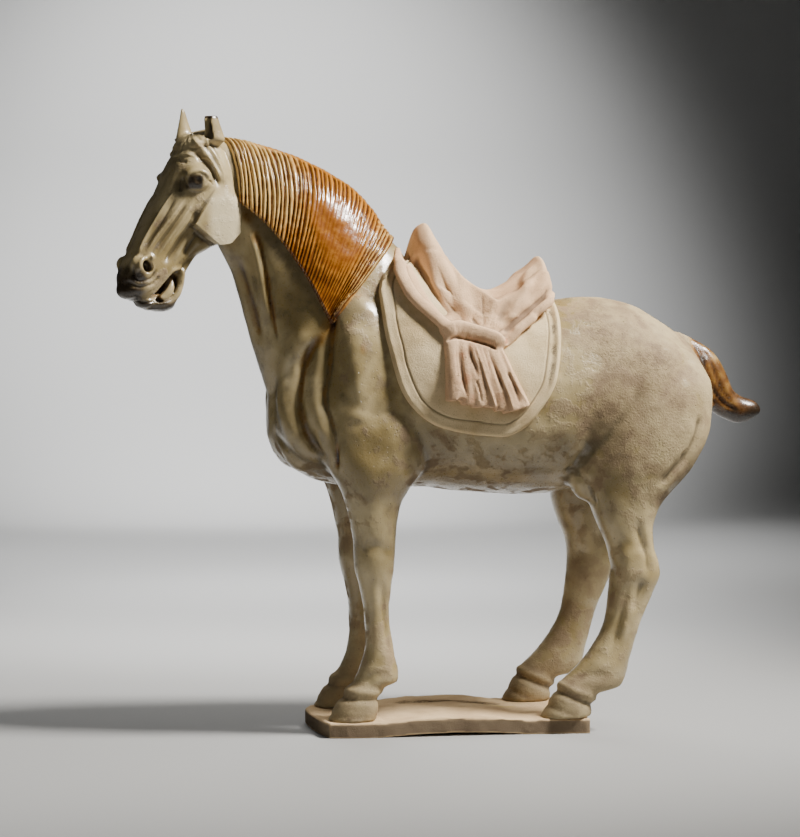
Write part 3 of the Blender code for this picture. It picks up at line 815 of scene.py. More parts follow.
@dataclass(frozen=True)
class StrawGlaze:
    """Thin lead glaze, straw where it pooled and cream where it is thin, worn to matt in places, with
    painted shade and painted light on it.
    """

    straw: Colour = (0.27, 0.200, 0.082)
    cream: Colour = (0.50, 0.395, 0.210)
    olive: Colour = (0.105, 0.080, 0.040)
    buff: Colour = (0.34, 0.250, 0.130)
    rose: Colour = (0.24, 0.165, 0.090)
    # Pale colour that paints the highlight on the breast and the lit cheek plates
    painted_light: Colour = (0.68, 0.58, 0.37)
    honey: Colour = (0.30, 0.150, 0.022)
    amber: Colour = (0.13, 0.052, 0.012)
    brown: Colour = (0.022, 0.012, 0.006)

    def material(self) -> Material:
        """The finish of body and head.

        Returns:
            The material.
        """
        n = Nodes("straw_glaze")
        broad, middle, fine = n.noise(0.045, 3), n.noise(0.012, 5, 0.6), n.noise(0.0016, 3, 0.6)
        hollow, amber, worn = n.tint(Tint.HOLLOW), n.tint(Tint.AMBER), n.tint(Tint.WORN)
        pale, crust, dark = n.tint(Tint.PALE_AND_LIT), n.tint(Tint.CRUST), n.tint(Tint.DARK)
        glazed = n.mix(n.range(broad, 0.38, 0.66), self.straw, self.cream)
        glazed = n.washes(glazed, (middle, 0.50, 0.72, 0.55, self.olive))
        clouds = n.mix(n.range(middle, 0.40, 0.62), self.buff, self.rose)
        matt = n.washes(clouds, (broad, 0.42, 0.60, 0.6, self.cream))
        bare = n.range(n.plus(worn, n.range(middle, 0.35, 0.65, -0.35, 0.35)), 0.34, 0.74)
        drip = n.plus(amber, n.range(middle, 0.3, 0.7, -0.12, 0.12))
        pits = n.times(n.range(n.cells(0.0042), 0.10, 0.20, 1, 0), n.range(fine, 0.50, 0.62))
        grit = n.times(crust, n.range(n.noise(0.0028, 5, 0.7), 0.45, 0.6))
        colour = n.washes(
            n.mix(bare, glazed, matt),
            (hollow, 0.04, 0.75, 0.8, self.olive),
            (n.times(hollow, -1.0), 0.1, 0.9, 0.45, self.cream),
            # Painted light: a highlight on the breast's ridge and paler, lit cheek plates
            (pale, 0.1, 0.9, 0.85, self.painted_light),
            (drip, 0.10, 0.50, 0.80, self.honey),
            (drip, 0.35, 0.75, 0.95, self.amber),
            (drip, 0.65, 1.05, 1.0, self.brown),
            # Dark glaze, and painted shade in holes, grooves, under the belly and low on the legs
            (dark, 0.05, 0.95, 0.96, self.brown),
        )
        for spots, share in ((pits, 0.6), (grit, 0.75)):
            colour = n.mix(n.times(spots, share), colour, self.olive)
        colour = n.washes(colour, (fine, 0.3, 0.7, 0.10, self.olive))
        rough = n.plus(n.range(bare, 0, 1, 0.30, 0.78), n.range(fine, 0.3, 0.7, -0.04, 0.06))
        coat = n.times(n.range(bare, 0, 1, 0.70, 0.0), n.range(broad, 0.3, 0.7, 1.0, 0.6))
        sand = n.times(fine, n.range(bare, 0, 1, 0.35, 1.0))
        grain = n.minus(sand, n.plus(pits, n.times(grit, 1.2)))
        return n.done(colour, rough, n.bump(grain, 0.00050, 0.80, n.bump(middle, 0.0010, 0.35)), coat, 0.24)


@dataclass(frozen=True)
class ManeGlaze:
    """Thick amber glaze that ran off the combed ridges and pooled brown in the grooves."""

    cream: Colour = (0.66, 0.44, 0.16)
    gold: Colour = (0.46, 0.190, 0.026)
    amber: Colour = (0.22, 0.066, 0.007)
    brown: Colour = (0.085, 0.025, 0.005)

    def material(self) -> Material:
        """The finish of the combed hair.

        Returns:
            The material.
        """
        n = Nodes("mane_glaze")
        broad, middle, fine = n.noise(0.02, 3), n.noise(0.005, 4, 0.6), n.noise(0.0012, 3)
        ridge, pale, amber = n.tint(Tint.RIDGE), n.tint(Tint.PALE_AND_LIT), n.tint(Tint.AMBER)
        thin = n.plus(pale, n.range(middle, 0.3, 0.7, -0.2, 0.2))
        top = n.mix(n.range(thin, 0.1, 0.9), self.gold, self.cream)
        groove = n.mix(n.range(pale, 0.0, 1.0, 0, 0.35), self.brown, self.amber)
        height = n.plus(ridge, n.range(middle, 0.3, 0.7, -0.12, 0.12))
        pool = n.mix(n.range(broad, 0.45, 0.85), self.amber, self.brown)
        pool = n.washes(pool, (middle, 0.40, 0.8, 0.6, self.gold))
        colour = n.washes(n.mix(n.range(height, 0.12, 0.85), groove, top), (amber, 0.05, 1.0, 0.9, pool))
        rough = n.range(fine, 0.3, 0.7, 0.16, 0.26)
        return n.done(colour, rough, n.bump(n.plus(middle, n.times(fine, 0.4)), 0.00035, 0.5), 0.6)


@dataclass(frozen=True)
class BareClay:
    """Unglazed clay with a sandy grain, stained in its hollows; the same dark paints shade on the slab's
    sides.
    """

    name: str
    light: Colour
    dark: Colour
    deep: Colour
    stain: Colour
    grain: float = 0.0009
    depth: float = 0.0005

    def material(self) -> Material:
        """The finish of saddle, cloth or slab.

        Returns:
            The material.
        """
        n = Nodes(self.name)
        broad, middle, fine = n.noise(0.03, 3), n.noise(0.007, 5, 0.65), n.noise(self.grain, 3, 0.7)
        hollow, amber, crust, pale = (n.tint(t) for t in (Tint.HOLLOW, Tint.AMBER, Tint.CRUST, Tint.PALE_AND_LIT))
        gritty = n.range(n.plus(crust, n.range(fine, 0.35, 0.65, -0.4, 0.3)), 0.25, 0.7)
        colour = n.washes(
            n.mix(n.range(broad, 0.35, 0.68), self.light, self.dark),
            (middle, 0.48, 0.75, 0.5, self.light),
            (n.plus(amber, n.range(middle, 0.4, 0.7, -0.2, 0.25)), 0.2, 0.9, 0.75, self.stain),
            (hollow, 0.05, 0.9, 0.8, self.deep),
            (n.times(hollow, -1.0), 0.05, 0.8, 0.5, self.light),
        )
        for spots, share in ((n.range(fine, 0.56, 0.68), 0.35), (gritty, 0.8)):
            colour = n.mix(n.times(spots, share), colour, self.deep)
        colour = n.washes(colour, (pale, 0.1, 1.0, 0.8, self.light))
        rough = n.range(pale, 0.0, 1.0, 0.88, 0.42)
        bumps = n.plus(fine, n.times(gritty, 1.5))
        return n.done(colour, rough, n.bump(bumps, self.depth, 0.9, n.bump(middle, 0.0012, 0.4)))


@dataclass
class Body:
    """Trunk, neck, legs and docked tail, run together as one smooth skin."""

    voxel: float = 2.08
    rounds: int = 8
    hind_step: float = 10.5
    hoof_reach: float = 38
    hoof_inside: float = 8
    hoof_top: float = 45
    # Depth, height and width of each ring cut round a hoof
    hoof_rings: Rows = ((1.9, 18.0, 2.6), (-1.5, 23.5, 3.0), (0.9, 3.4, 1.8))
    # How far the slant of those rings drops from toe to heel, for fore and hind hooves
    heel_drops: tuple[float, float] = (0.06, 0.42)
    # Above this height the forward step of a hind leg fades out, over that much
    step_fade: tuple[float, float] = (240, 80)
    # Place, size and amount of each run of iron glaze
    drips: Rows = (
        (-82, 337, 7, 0.42), (-101, 308, 6, 0.5), (-108, 300, 6, 0.36), (34, 208, 2, 0.36),
        (34, 201, 1.6, 0.3), (-164, 396, 7, 0.5), (-158, 378, 5, 0.35), (-79, 290, 4, 0.24),
    )
    drip_stretch: float = 1.5
    trunk: Rows = (
        (-145, 250, 222, 12, 2.0), (-139, 274, 208, 30, 2.0), (-124, 304, 195, 47, 2.1),
        (-100, 332, 185, 58, 2.2), (-72, 352, 180, 63, 2.3), (-44, 363, 181, 65, 2.3),
        (-16, 346, 180, 68, 2.2), (20, 328, 176, 72, 2.2), (56, 327, 174, 74, 2.2),
        (90, 331, 176, 73, 2.2), (118, 333, 184, 71, 2.2), (146, 328, 195, 68, 2.2),
        (170, 316, 205, 61, 2.1), (192, 300, 214, 50, 2.0), (208, 280, 226, 34, 2.0),
        (217, 260, 240, 14, 2.0),
    )
    neck: Rows = (
        (-30, 352, -120, 215, 0, 50, 2.2, 0.10), (-38, 369, -138, 238, 0, 50, 2.2, 0.10),
        (-52, 384, -147, 262, 0, 47, 2.1, 0.14), (-66, 404, -154, 285, 0, 43, 2.1, 0.18),
        (-84, 420, -161, 308, -1, 38, 2.1, 0.20), (-104, 431.5, -167, 330, -2, 33, 2.1, 0.20),
        (-126, 441, -173, 350, -3, 27.5, 2.1, 0.18), (-148, 448, -181, 366, -4, 22, 2.1, 0.14),
        (-168, 453, -189, 381, -6, 17.5, 2.1, 0.08), (-185, 455, -196, 396, -8, 15, 2.0, 0.0),
    )
    fore_leg: Rows = (
        (262, -122, -34, -40, 20, 2.2), (228, -116, -22, -42, 25, 2.2), (200, -104, -26, -43, 24, 2.2),
        (185, -95, -36, -43, 22, 2.2), (169, -88.5, -45, -42, 19.5, 2.2),
        (150, -84, -48.5, -42, 17.5, 2.2), (137, -82, -49.2, -41.5, 16.5, 2.4),
        (122, -82, -49.8, -41, 16.5, 2.4), (104, -77.5, -52.3, -41, 14, 2.2),
        (84, -73.7, -54, -41, 12.5, 2.2), (62, -73, -51.5, -41, 12.5, 2.2),
        (48, -75, -49.5, -41, 14, 2.2), (37, -79, -46.5, -41, 16, 2.1),
        (30, -82.5, -46.5, -41, 15.5, 2.1), (25.5, -86, -58, -41, 14.5, 2.2),
        (20, -91, -61.5, -41, 17, 2.3), (8, -98.5, -62.5, -41, 18.5, 2.3), (0, -102.4, -64, -41, 20, 2.3),
    )
    hind_leg: Rows = (
        (298, 136, 184, -26, 12, 2.0), (278, 116, 202, -33, 25, 2.1), (258, 105, 208, -39, 30, 2.2),
        (228, 99, 206, -42, 31, 2.2), (202, 99, 194, -44, 29, 2.2), (185, 102, 181, -46, 25, 2.2),
        (167, 107, 164, -48, 21, 2.2), (148, 114, 156.5, -50, 17.5, 2.2),
        (134, 119.5, 157.5, -51, 15.5, 2.2), (123, 121.3, 161.5, -52, 15, 2.2),
        (112, 121.5, 163, -52, 14.5, 2.2), (98, 120.5, 156.5, -52, 13.5, 2.2),
        (76, 117, 147, -52, 12.5, 2.2), (56, 107.5, 141, -52, 13, 2.2), (42, 97, 137, -52, 15, 2.1),
        (31, 86, 134.5, -52, 16, 2.1), (23, 79, 130, -52, 15.5, 2.1), (18.5, 76.5, 111, -52, 16, 2.2),
        (9, 71.5, 108, -51, 17.5, 2.3), (0, 66, 106.5, -51, 18.5, 2.3),
    )
    tail: Rows = (
        (190, 306, 190, 262, 0, 8, 2.0, 0.0), (206, 298, 203, 255, 0, 11, 2.0, 0.0),
        (221, 288, 211, 247, 0, 12, 2.0, 0.0), (232, 271, 219, 240, 0, 12, 2.0, 0.0),
        (238, 257, 229, 234, 0, 11, 2.0, 0.0), (246, 251, 242, 229, 0, 10, 2.0, 0.0),
        (256, 248, 252, 232, 0, 8, 2.0, 0.0), (262, 242, 260, 237, 0, 4, 2.0, 0.0),
    )
    masses: tuple = (
        ((-114, 25, 248), (27, 28, 54), 8), ((-72, 42, 262), (33, 24, 72), -6),
        ((-46, 40, 214), (21, 21, 34), 10), ((150, 36, 252), (45, 34, 54), 14),
        ((116, 44, 212), (24, 22, 44), 20),
    )
    strokes: tuple[Stroke, ...] = (
        # Neck: wide valley by the throat, a ridge, a brown groove, and the hollow below the mane
        # The throat valley's stain is mostly painted shade, with a little iron glaze
        Stroke(6.5, 3.8, ((-173, 368), (-168, 349), (-162, 329), (-157, 310), (-153, 294)),
               stain=0.42, taper=0.25),
        Stroke(3.8, -2.4, ((-164, 386), (-159, 372), (-155, 354), (-152, 334), (-148, 312)), taper=0.25),
        Stroke(11.0, 3.2, ((-136, 352), (-133, 338), (-133, 322), (-135, 305), (-138, 288)), taper=0.4),
        Stroke(1.9, 2.6, ((-158, 384), (-154, 371), (-150, 351), (-147, 330), (-144, 310),
                          (-141, 294)), stain=0.6, taper=0.2),
        # Breast: the outer swell, the groove behind it, the spindle between that and the shoulder
        Stroke(7.5, -4.6, ((-104, 312), (-117, 304), (-129, 291), (-135, 271), (-137, 251),
                           (-133, 231), (-121, 212), (-106, 200)), taper=0.35),
        Stroke(4.5, 2.6, ((-144, 228), (-136, 215), (-124, 204), (-110, 197)), taper=0.3),
        Stroke(3.8, 4.4, ((-107, 303), (-117, 289), (-124, 270), (-126, 251), (-122, 231),
                          (-113, 215), (-101, 203)), stain=0.40, taper=0.2),
        Stroke(5.5, -2.6, ((-105, 296), (-110, 279), (-114, 257), (-112, 236), (-105, 217)), taper=0.2),
        # Shoulder crease with a deep spot half way, and the shoulder's swells
        Stroke(6.0, 2.2, ((-99, 316), (-101, 292), (-104, 270), (-106, 252), (-101, 230), (-98, 206))),
        Stroke(1.9, 4.8, ((-98, 318), (-101, 300), (-102, 288), (-104, 270), (-107, 252), (-102, 233),
                          (-99, 216), (-98, 196)), stain=0.95, taper=0.06),
        Stroke(2.4, 2.2, ((-106, 257), (-107, 246)), stain=0.25),
        Stroke(9.0, -2.4, ((-86, 312), (-84, 285), (-82, 255), (-82, 232))),
        Stroke(10.0, 1.4, ((-94, 212), (-76, 213), (-58, 209), (-42, 206)), taper=0.4),
        # Elbow, flank and buttock
        Stroke(5.5, 1.6, ((-39, 190), (-43, 203), (-48, 222)), taper=0.4),
        Stroke(9.0, 3.4, ((80, 184), (92, 194), (101, 210), (104, 235), (104, 262)), taper=0.5),
        Stroke(3.0, 1.8, ((110, 166), (104, 180), (95, 191), (84, 197))),
        Stroke(3.4, 2.6, ((193, 240), (188, 222), (180, 206), (169, 195), (158, 183))),
        Stroke(1.8, 1.6, ((179, 209), (176, 203))),
        Stroke(0.7, 0.7, ((152, 280), (156, 270), (155, 262), (159, 254))),
        # Fore leg: knee, tendon, back of the fetlock
        Stroke(4.5, 1.2, ((-85, 126), (-68, 137), (-52, 129)), taper=0.3),
        Stroke(3.2, 2.0, ((-62, 112), (-60, 93), (-57, 73), (-55, 50)), taper=0.25),
        Stroke(4.0, -1.0, ((-70, 110), (-68, 80), (-68, 50)), taper=0.25),
        Stroke(3.4, 1.4, ((-78, 30), (-66, 37), (-54, 37)), taper=0.25),
        # Hind leg: hollow in front of the hock's point, tendon, shank
        Stroke(4.2, 2.8, ((138, 158), (144, 142), (150, 126), (151, 108)), taper=0.3),
        Stroke(4.6, 2.2, ((148, 112), (142, 98), (136, 82)), taper=0.3),
        Stroke(3.2, 1.4, ((135, 110), (130, 88), (125, 68), (118, 48)), taper=0.3),
        Stroke(3.4, -1.2, ((140, 102), (134, 80), (127, 58)), taper=0.3),
        Stroke(6.5, -1.6, ((133, 128), (133, 116)), taper=0.0),
        Stroke(5.0, 1.6, ((118, 132), (123, 112), (121, 92), (115, 68)), taper=0.3),
        Stroke(4.0, 1.4, ((88, 30), (104, 34), (122, 34)), taper=0.3),
        # Tail: flutes
        Stroke(1.7, 1.9, ((203, 296), (209, 283), (213, 270), (219, 257), (228, 246), (240, 240)),
               stain=0.35),
        Stroke(1.5, 1.5, ((208, 294), (216, 281), (221, 268), (227, 255), (236, 247)), stain=0.3),
        Stroke(1.6, 1.5, ((205, 280), (209, 266), (214, 254), (222, 245)), stain=0.4),
    )

    def sections(self, rows: Rows, side: Side, shift: float = 0.0) -> list[np.ndarray]:
        """A leg's sections from its rows of z, front x, back x, y, half width and power.

        Args:
            rows: the leg's table.
            side: which leg of the pair.
            shift: how far its foot stands back.

        Returns:
            The sections from the top down.
        """
        out = []
        top, over = self.step_fade
        for z, front, back, y, half, power in eased(rows, 4):
            fade = min(1.0, max(0.0, (top - z) / over))
            centre = np.array(((front + back) / 2 + shift * fade, -side.value * y, z))
            depth, width = np.array(((back - front) / 2, 0, 0)), np.array((0, half, 0))
            out.append(section(centre, depth, width, power))
        return out

    def lumps(self) -> Lumps:
        """All that is run together.

        Returns:
            The loose shapes.
        """
        lumps = Lumps()
        lumps.loft(upright_sections(self.trunk, 4, 0.06))
        lumps.loft(paired_sections(self.neck))
        lumps.loft(paired_sections(self.tail))
        for side in Side:
            lumps.loft(self.sections(self.fore_leg, side))
            lumps.loft(self.sections(self.hind_leg, side, -self.hind_step if side is Side.RIGHT else 0.0))
            for (x, y, z), radii, turn in self.masses:
                lumps.ball((x, y * side.value, z), radii, turn)
        return lumps

    def hoof_collars(self, clay: Clay) -> None:
        """Cuts the coronet and the worn foot of each hoof, as slanting rings.

        Args:
            clay: the body's skin.
        """
        legs = zip((self.fore_leg, self.hind_leg), self.heel_drops, (0.0, self.hind_step))
        for rows, heel_drop, step_back in legs:
            middle = (rows[-1][1] + rows[-1][2]) / 2
            for side in Side:
                x, y, z = clay.points.T
                x = x + (step_back if side is Side.RIGHT else 0.0)
                near = (np.abs(x - middle) < self.hoof_reach) & (y * side.value > self.hoof_inside)
                near &= z < self.hoof_top
                slant = z + (x - middle) * heel_drop
                ring = sum(depth * bell(slant, at, width) for depth, at, width in self.hoof_rings)
                normals = clay.normals()
                clay.points[near] -= normals[near] * (ring[near] * step(z[near], 0.5, 4.0))[:, None]

    def build(self) -> Clay:
        """Models the body.

        Returns:
            The worked skin, in parts, with its tints.
        """
        clay = Clay(self.lumps().fused("body", self.voxel, self.rounds))
        clay.stroke_flanks(self.strokes)
        self.hoof_collars(clay)
        clay.fair(0.4)
        clay.press((34, 3, 0.35), (11, 5, 0.10))
        self.tint(clay)
        return clay

    def tint(self, clay: Clay) -> None:
        """Says where the glaze pooled, ran or wore off, and where shade and a highlight are painted.

        Args:
            clay: the body's skin, with its strokes.
        """
        points, tints = clay.points, clay.tints
        x, y, z = points.T
        left = step(-y, 5, 25)
        rump = step(x, 70, 130) * step(z, 150, 230)
        breast = step(x, -84, -118) * step(z, 195, 235)
        tail = step(x, 196, 206) * (np.abs(y) < 16) * step(z, 222, 232)
        # The tail's tip is burnt dark; its underside is painted shade
        tail_end = 0.50 * step(x, 240, 258) + 0.35 * step(z, 248, 236) * step(x, 212, 226)
        # Painted shade: on faces that look down under the belly, and darker towards the bottom of the legs
        belly_shade = step(clay.normals()[:, 2], 0.1, -0.8) * step(z, 100, 160)
        legs, shin_shade, hooves = step(z, 170, 90), step(z, 190, 90), step(z, 34, 22)
        low_shade = step(z, 70, 10)
        # Painted shadow below the edge of the mane on the neck's left
        below_mane = (x + 168) * 0.787 + (z - 402) * 0.617
        mane_shadow = bell(np.minimum(below_mane, 0), 0, 6.5) * step(below_mane, 30, 20) * step(z, 300, 322)
        tints[Tint.HOLLOW] = np.clip(clay.lie_of(6, 0.45) * 0.5 + clay.lie_of(50, 3.2) * 0.3, -1, 1)
        worn = 0.34 + 0.70 * rump + 0.22 * ripples(points, 40, 9) - 0.55 * breast
        worn += 0.12 * legs + 1.0 * hooves - 1.2 * tail
        tints[Tint.WORN] = np.clip(worn, -0.6, 1.4)
        tints[Tint.AMBER] += tail * (0.62 + 0.36 * step(x, 228, 250) + 0.22 * ripples(points, 14, 4))
        # Dark tint: the tail's burnt tip, and painted shade under the tail, on the legs, under the belly
        # and below the mane
        tints[Tint.DARK] += tail * tail_end + 0.20 * low_shade + 0.16 * shin_shade + 0.50 * belly_shade
        tints[Tint.DARK] += 0.5 * left * mane_shadow
        for drip_x, drip_z, size, amount in self.drips:
            drip = patch(x - drip_x, z - drip_z, size, size * self.drip_stretch)
            tints[Tint.AMBER] += amount * left * drip
        # Painted highlight: a narrow pale streak down the ridge of the breast's swell
        tints[Tint.PALE_AND_LIT] = 0.5 * left * patch(x + 134, z - 275, 4, 18)
        crusted = step(ripples(points, 60, 12), 0.1, 1.0) * step(x, 85, 120) * step(z, 190, 215)
        tints[Tint.CRUST] = 0.4 * crusted


@dataclass
class Head:
    """The head in its own frame: X along the nose, Y to the horse's left, Z up, from the poll."""

    poll: tuple[float, float, float] = (-198.6, -11, 457)
    turn: float = 22.0
    voxel: float = 0.8
    skull: Rows = (
        (4, 0, -22, -16, 15, 2.0, 0.0), (14, -4, -28, -34, 21, 2.3, 0.0),
        (22, -14, -30, -52, 24, 2.6, -0.02), (29, -28, -26, -66, 25, 3.0, -0.04),
        (36, -43, -15, -79, 23, 3.0, -0.06), (44.5, -58, -3, -88, 20.5, 3.0, -0.06),
        (52.5, -73, 8, -94, 18, 2.9, -0.04), (60.5, -88, 18, -101, 16.5, 2.7, 0.0),
        (67, -100, 29, -108, 17, 2.6, 0.02), (70.6, -111, 41, -119, 16.5, 2.4, 0.0),
        (68.6, -121, 49, -127, 12.5, 2.1, 0.0), (62, -128, 56, -130, 5, 2.0, 0.0),
    )
    lower_jaw: Rows = (
        (20, -92, 2, -88, 12, 2.2, 0.0), (24, -101, 11, -98, 11.5, 2.2, 0.0),
        (28, -110, 17, -107, 11, 2.2, 0.0), (31, -119, 19, -117, 10.5, 2.2, 0.0),
        (36, -128, 24, -129, 10.5, 2.2, 0.0), (45, -132, 36, -136, 9, 2.0, 0.0),
        (50, -134, 47, -136, 4, 2.0, 0.0),
    )
    paired_masses: tuple = (
        ((13.5, 17.5, -33.5), (14.0, 13.6, 11.8), 20), ((-8, 16, -62), (26, 9.5, 22), 30),
        ((59, 12.0, -102), (8, 6.0, 9), 35),
    )
    middle_masses: tuple = (
        ((60, 0, -118), (12.0, 15, 9), 30), ((37, 0, -130), (13, 11.5, 7), 0),
        ((4, 0, -4), (18, 19, 8), 24), ((49, 0, -129.5), (8, 10.5, 5), 0),
    )
    mouth: Rows = (
        (44.5, -128.3), (41, -124.2), (37.8, -119.0), (35.2, -113.0), (32.6, -108.8), (28.5, -106.8),
        (24.7, -109.0), (24.5, -114.0), (26.4, -120.5), (30.6, -126.0), (36.0, -129.0), (41.0, -130.0),
    )
    cheek: Rows = (
        (-2, -39), (9, -54.5), (19.5, -69.5), (7, -78.5), (-5, -87.0), (-14, -84), (-23, -75),
        (-29.5, -60), (-25, -45), (-12, -36),
    )
    cheek_out: float = 27.2
    # Middle of the cheek plate, how round it is, and how far it may be built up
    cheek_middle: tuple[float, float] = (-2, -62)
    cheek_roundness: float = 420
    cheek_most: float = 9
    cheek_sharp_sides: int = 7
    fringe: Rows = (
        (-20, -15.0), (-10, -15.2), (0, -16.4), (9, -15.6), (17, -16.4), (21.5, -19.2), (27, -20.0),
    )
    nostril: tuple = ((54.8, 18.0, -101.8), (4.4, 8.0, 5.6), 32)
    pupil: tuple = ((18.8, 33.6, -36.4), (5.2, 4.8, 5.6), 0)
    mouth_span: tuple[float, float] = (3.5, 40.0)
    gum: Rows = ((28.4, 5.0, -111.5), (29.6, 6.4, -117.0), (32.4, 6.6, -122.2), (38.0, 5.6, -127.5))
    gum_radii: tuple[float, ...] = (1.6, 2.0, 2.5, 3.0, 3.3, 3.5, 3.6, 3.6, 3.6, 3.4)
    ear_foot: float = -9
    ear_tips: tuple[float, float] = (15.5, 23.5)
    # Width, shift to the open side and height of the ear's hollow against the ear, and its first section
    ear_hollow: tuple[float, float, float] = (0.56, 0.78, 1.1)
    ear_hollow_from: int = 3
    strands: int = 11
    fan_width: float = 2.2
    hair: float = 0.9
    comb: float = 0.16
    strokes: tuple[Stroke, ...] = (
        # Three ridges from the eye to the nostril, and the valleys between them
        Stroke(1.15, -2.0, ((31, 18, -41), (41, 15, -57), (51.5, 12, -75), (57.5, 11, -86),
                            (61, 12, -92)), taper=0.2),
        Stroke(1.9, 1.9, ((29.5, 20, -44), (38.4, 17.8, -60.5), (49.7, 14.4, -78), (57, 13, -89)),
               taper=0.3),
        Stroke(1.1, -1.7, ((24, 23, -48), (35, 19.8, -62.8), (46, 16, -78), (55, 14.5, -91)), taper=0.25),
        Stroke(1.7, 1.6, ((21, 23, -50), (32, 20.6, -66), (42.6, 17.5, -81), (52.5, 16, -94)), taper=0.3),
        Stroke(1.2, -1.6, ((17.7, 24.5, -51.5), (28, 21, -67), (37.5, 17.7, -81), (47.4, 16.3, -96)),
               taper=0.3),
        Stroke(2.8, 2.6, ((14, 25, -57), (20, 22.5, -69), (28, 19, -81), (34, 17.5, -90.6),
                          (41, 17, -100)), taper=0.2),
        Stroke(2.2, -1.1, ((20.4, 20.3, -76), (26.5, 18.2, -87.4), (32, 16.7, -98)), taper=0.3),
        Stroke(2.6, 2.0, ((12.7, 21.9, -77), (18.3, 19, -85), (23, 16, -95)), taper=0.2),
        # Eye: hollow at its inner corner, brow, lids, gap between lid and ball, fold at its outer corner
        Stroke(4.0, 3.6, ((29.5, 20, -35), (28.8, 21.0, -41)), taper=0.0),
        Stroke(2.2, -1.7, ((26.5, 25, -33), (23, 29, -28.2), (18, 31, -26.6), (12.5, 31, -28.8),
                           (7.5, 30, -34))),
        Stroke(0.8, 0.8, ((24, 27, -32), (21.5, 30, -30.4), (17.5, 31, -29.4), (13.0, 31, -31.4),
                          (10, 30, -35))),
        Stroke(1.4, -0.6, ((25, 25, -36), (23.4, 26, -42.6), (18.5, 28, -44.4), (13.5, 29, -41.8),
                           (9.5, 29, -37))),
        Stroke(0.8, 1.1, ((10.5, 30, -35.4), (5.5, 29, -36.4), (0, 27, -38.6)), taper=0.4),
        # Rim and flap of the nostril
        Stroke(1.5, -1.6, ((49.5, 17, -97.5), (52, 18, -93.5), (57.5, 18, -94.5), (61.5, 17, -100),
                           (62.2, 16, -105.5))),
        Stroke(2.0, -0.6, ((61.8, 16.2, -107.0), (58.0, 16.6, -109.6))),
        Stroke(1.5, 1.5, ((65.5, 14.5, -100), (66.0, 13.5, -107), (61, 15.0, -113.4),
                          (53, 15.5, -111.5), (47, 16, -104))),
        # Lips, thick round the open mouth and closed in front
        Stroke(1.9, -1.9, ((50, 11, -126.5), (44.5, 12, -122.0), (40.5, 13, -116.0),
                           (36.5, 13.5, -108.5), (31.5, 13.5, -103.8), (25.0, 13, -103.8),
                           (21.2, 12, -108.5), (21.2, 11.5, -115.5), (23.5, 11, -122.5),
                           (28.5, 11, -129))),
        Stroke(0.8, 1.4, ((45, 10.5, -128.6), (51, 10, -129.6), (57, 7, -130.4), (60, 2, -130.8))),
        Stroke(1.6, 1.2, ((67, 8, -113), (60, 13.5, -117.5), (51, 14.5, -115.5), (44, 15, -109))),
        # Edge of the jaw behind and below the cheek
        Stroke(2.2, 2.4, ((17, 19, -74.5), (7, 20, -82), (-4, 17, -90.5))),
        # The lock that hangs behind the eye
        Stroke(2.2, -1.9, ((13, 12, -2), (9, 16.5, -9), (4, 21, -18), (-1, 24, -27), (-6.4, 25, -38)),
               taper=0.2),
        Stroke(2.2, -1.9, ((8, 14.5, -1), (2.3, 19, -8), (-2.8, 23, -17), (-6.2, 25, -27),
                           (-8.6, 25, -39)), taper=0.2),
        Stroke(2.4, 2.6, ((17, 15, -11), (11, 19, -17), (5.2, 23, -23), (0.4, 25, -31),
                          (-4.0, 25, -40)), stain=0.55, taper=0.25),
        Stroke(0.6, 0.6, ((10.5, 13, -1), (6.2, 17.5, -9), (1.2, 21.5, -18), (-3.4, 24.5, -28),
                          (-7.2, 25, -38))),
        Stroke(0.6, 0.5, ((5.5, 15, -1), (0.0, 20, -8.5), (-4.7, 24, -17), (-8.0, 25.5, -27),
                          (-9.2, 25, -39))),
    )
    lone_strokes: tuple[Stroke, ...] = (
        Stroke(2.0, -0.9, ((13, 3, 0), (19, -2, -4), (23.5, -7, -8.5), (25, -11, -13))),
        Stroke(0.8, 0.8, ((14, 0, -1), (20, -5, -5.5), (23, -10, -11))),
        Stroke(0.8, 0.7, ((14, 8, -1), (20, 8, -6), (22.5, 8, -14)), stain=0.3),
        # Its stain paints the shadow between the brow and the fringe
        Stroke(1.8, 0.9, ((23.5, 7, -17), (22, 11, -21), (18.5, 15, -22.5)), stain=0.5),
    )

    def frame(self) -> Matrix:
        """From the head's own frame to the horse's."""
        turn = Matrix.Rotation(math.pi + math.radians(self.turn), 4, "Z")
        return Matrix.Translation(Vector(self.poll)) @ turn

    def ear_rings(self, side: Side, grow: float = 1.0, ahead: float = 0.0,
                  top: float = 1.0) -> list[np.ndarray]:
        """Sections of an ear, or of the tool that hollows it.

        Args:
            side: the left ear lost its tip.
            grow: its width against the ear's own.
            ahead: how far it is moved to the ear's open side, as a share of the ear's width.
            top: where it ends, as a share of the ear's height.

        Returns:
            The sections from base to tip.
        """
        broken = side is Side.LEFT
        tip = self.ear_tips[0 if broken else 1]
        rings = []
        for t in np.linspace(0.0, 1.0, 14) * top:
            root = float(step(t, 0.28, 0.0))
            wide = 9.4 - 3.9 * min(t, 1) if broken else 9.3 * max(1 - t, 0) ** 0.72 + 0.8
            wide *= 1 - 0.5 * root
            x = (-4.5 + 4.2 * t if broken else 5.0 + 2.2 * t) + ahead * wide
            y = -side.value * (18.0 - 1.0 * t - 5.0 * root) - side.value * ahead * wide * 0.3
            centre = np.array((x, y, self.ear_foot + (tip - self.ear_foot) * t))
            depth, width = np.array((wide * grow, 0, 0)), np.array((0, wide * 0.66 * grow, 0))
            rings.append(section(centre, depth, width, 2.1, count=28))
        return rings

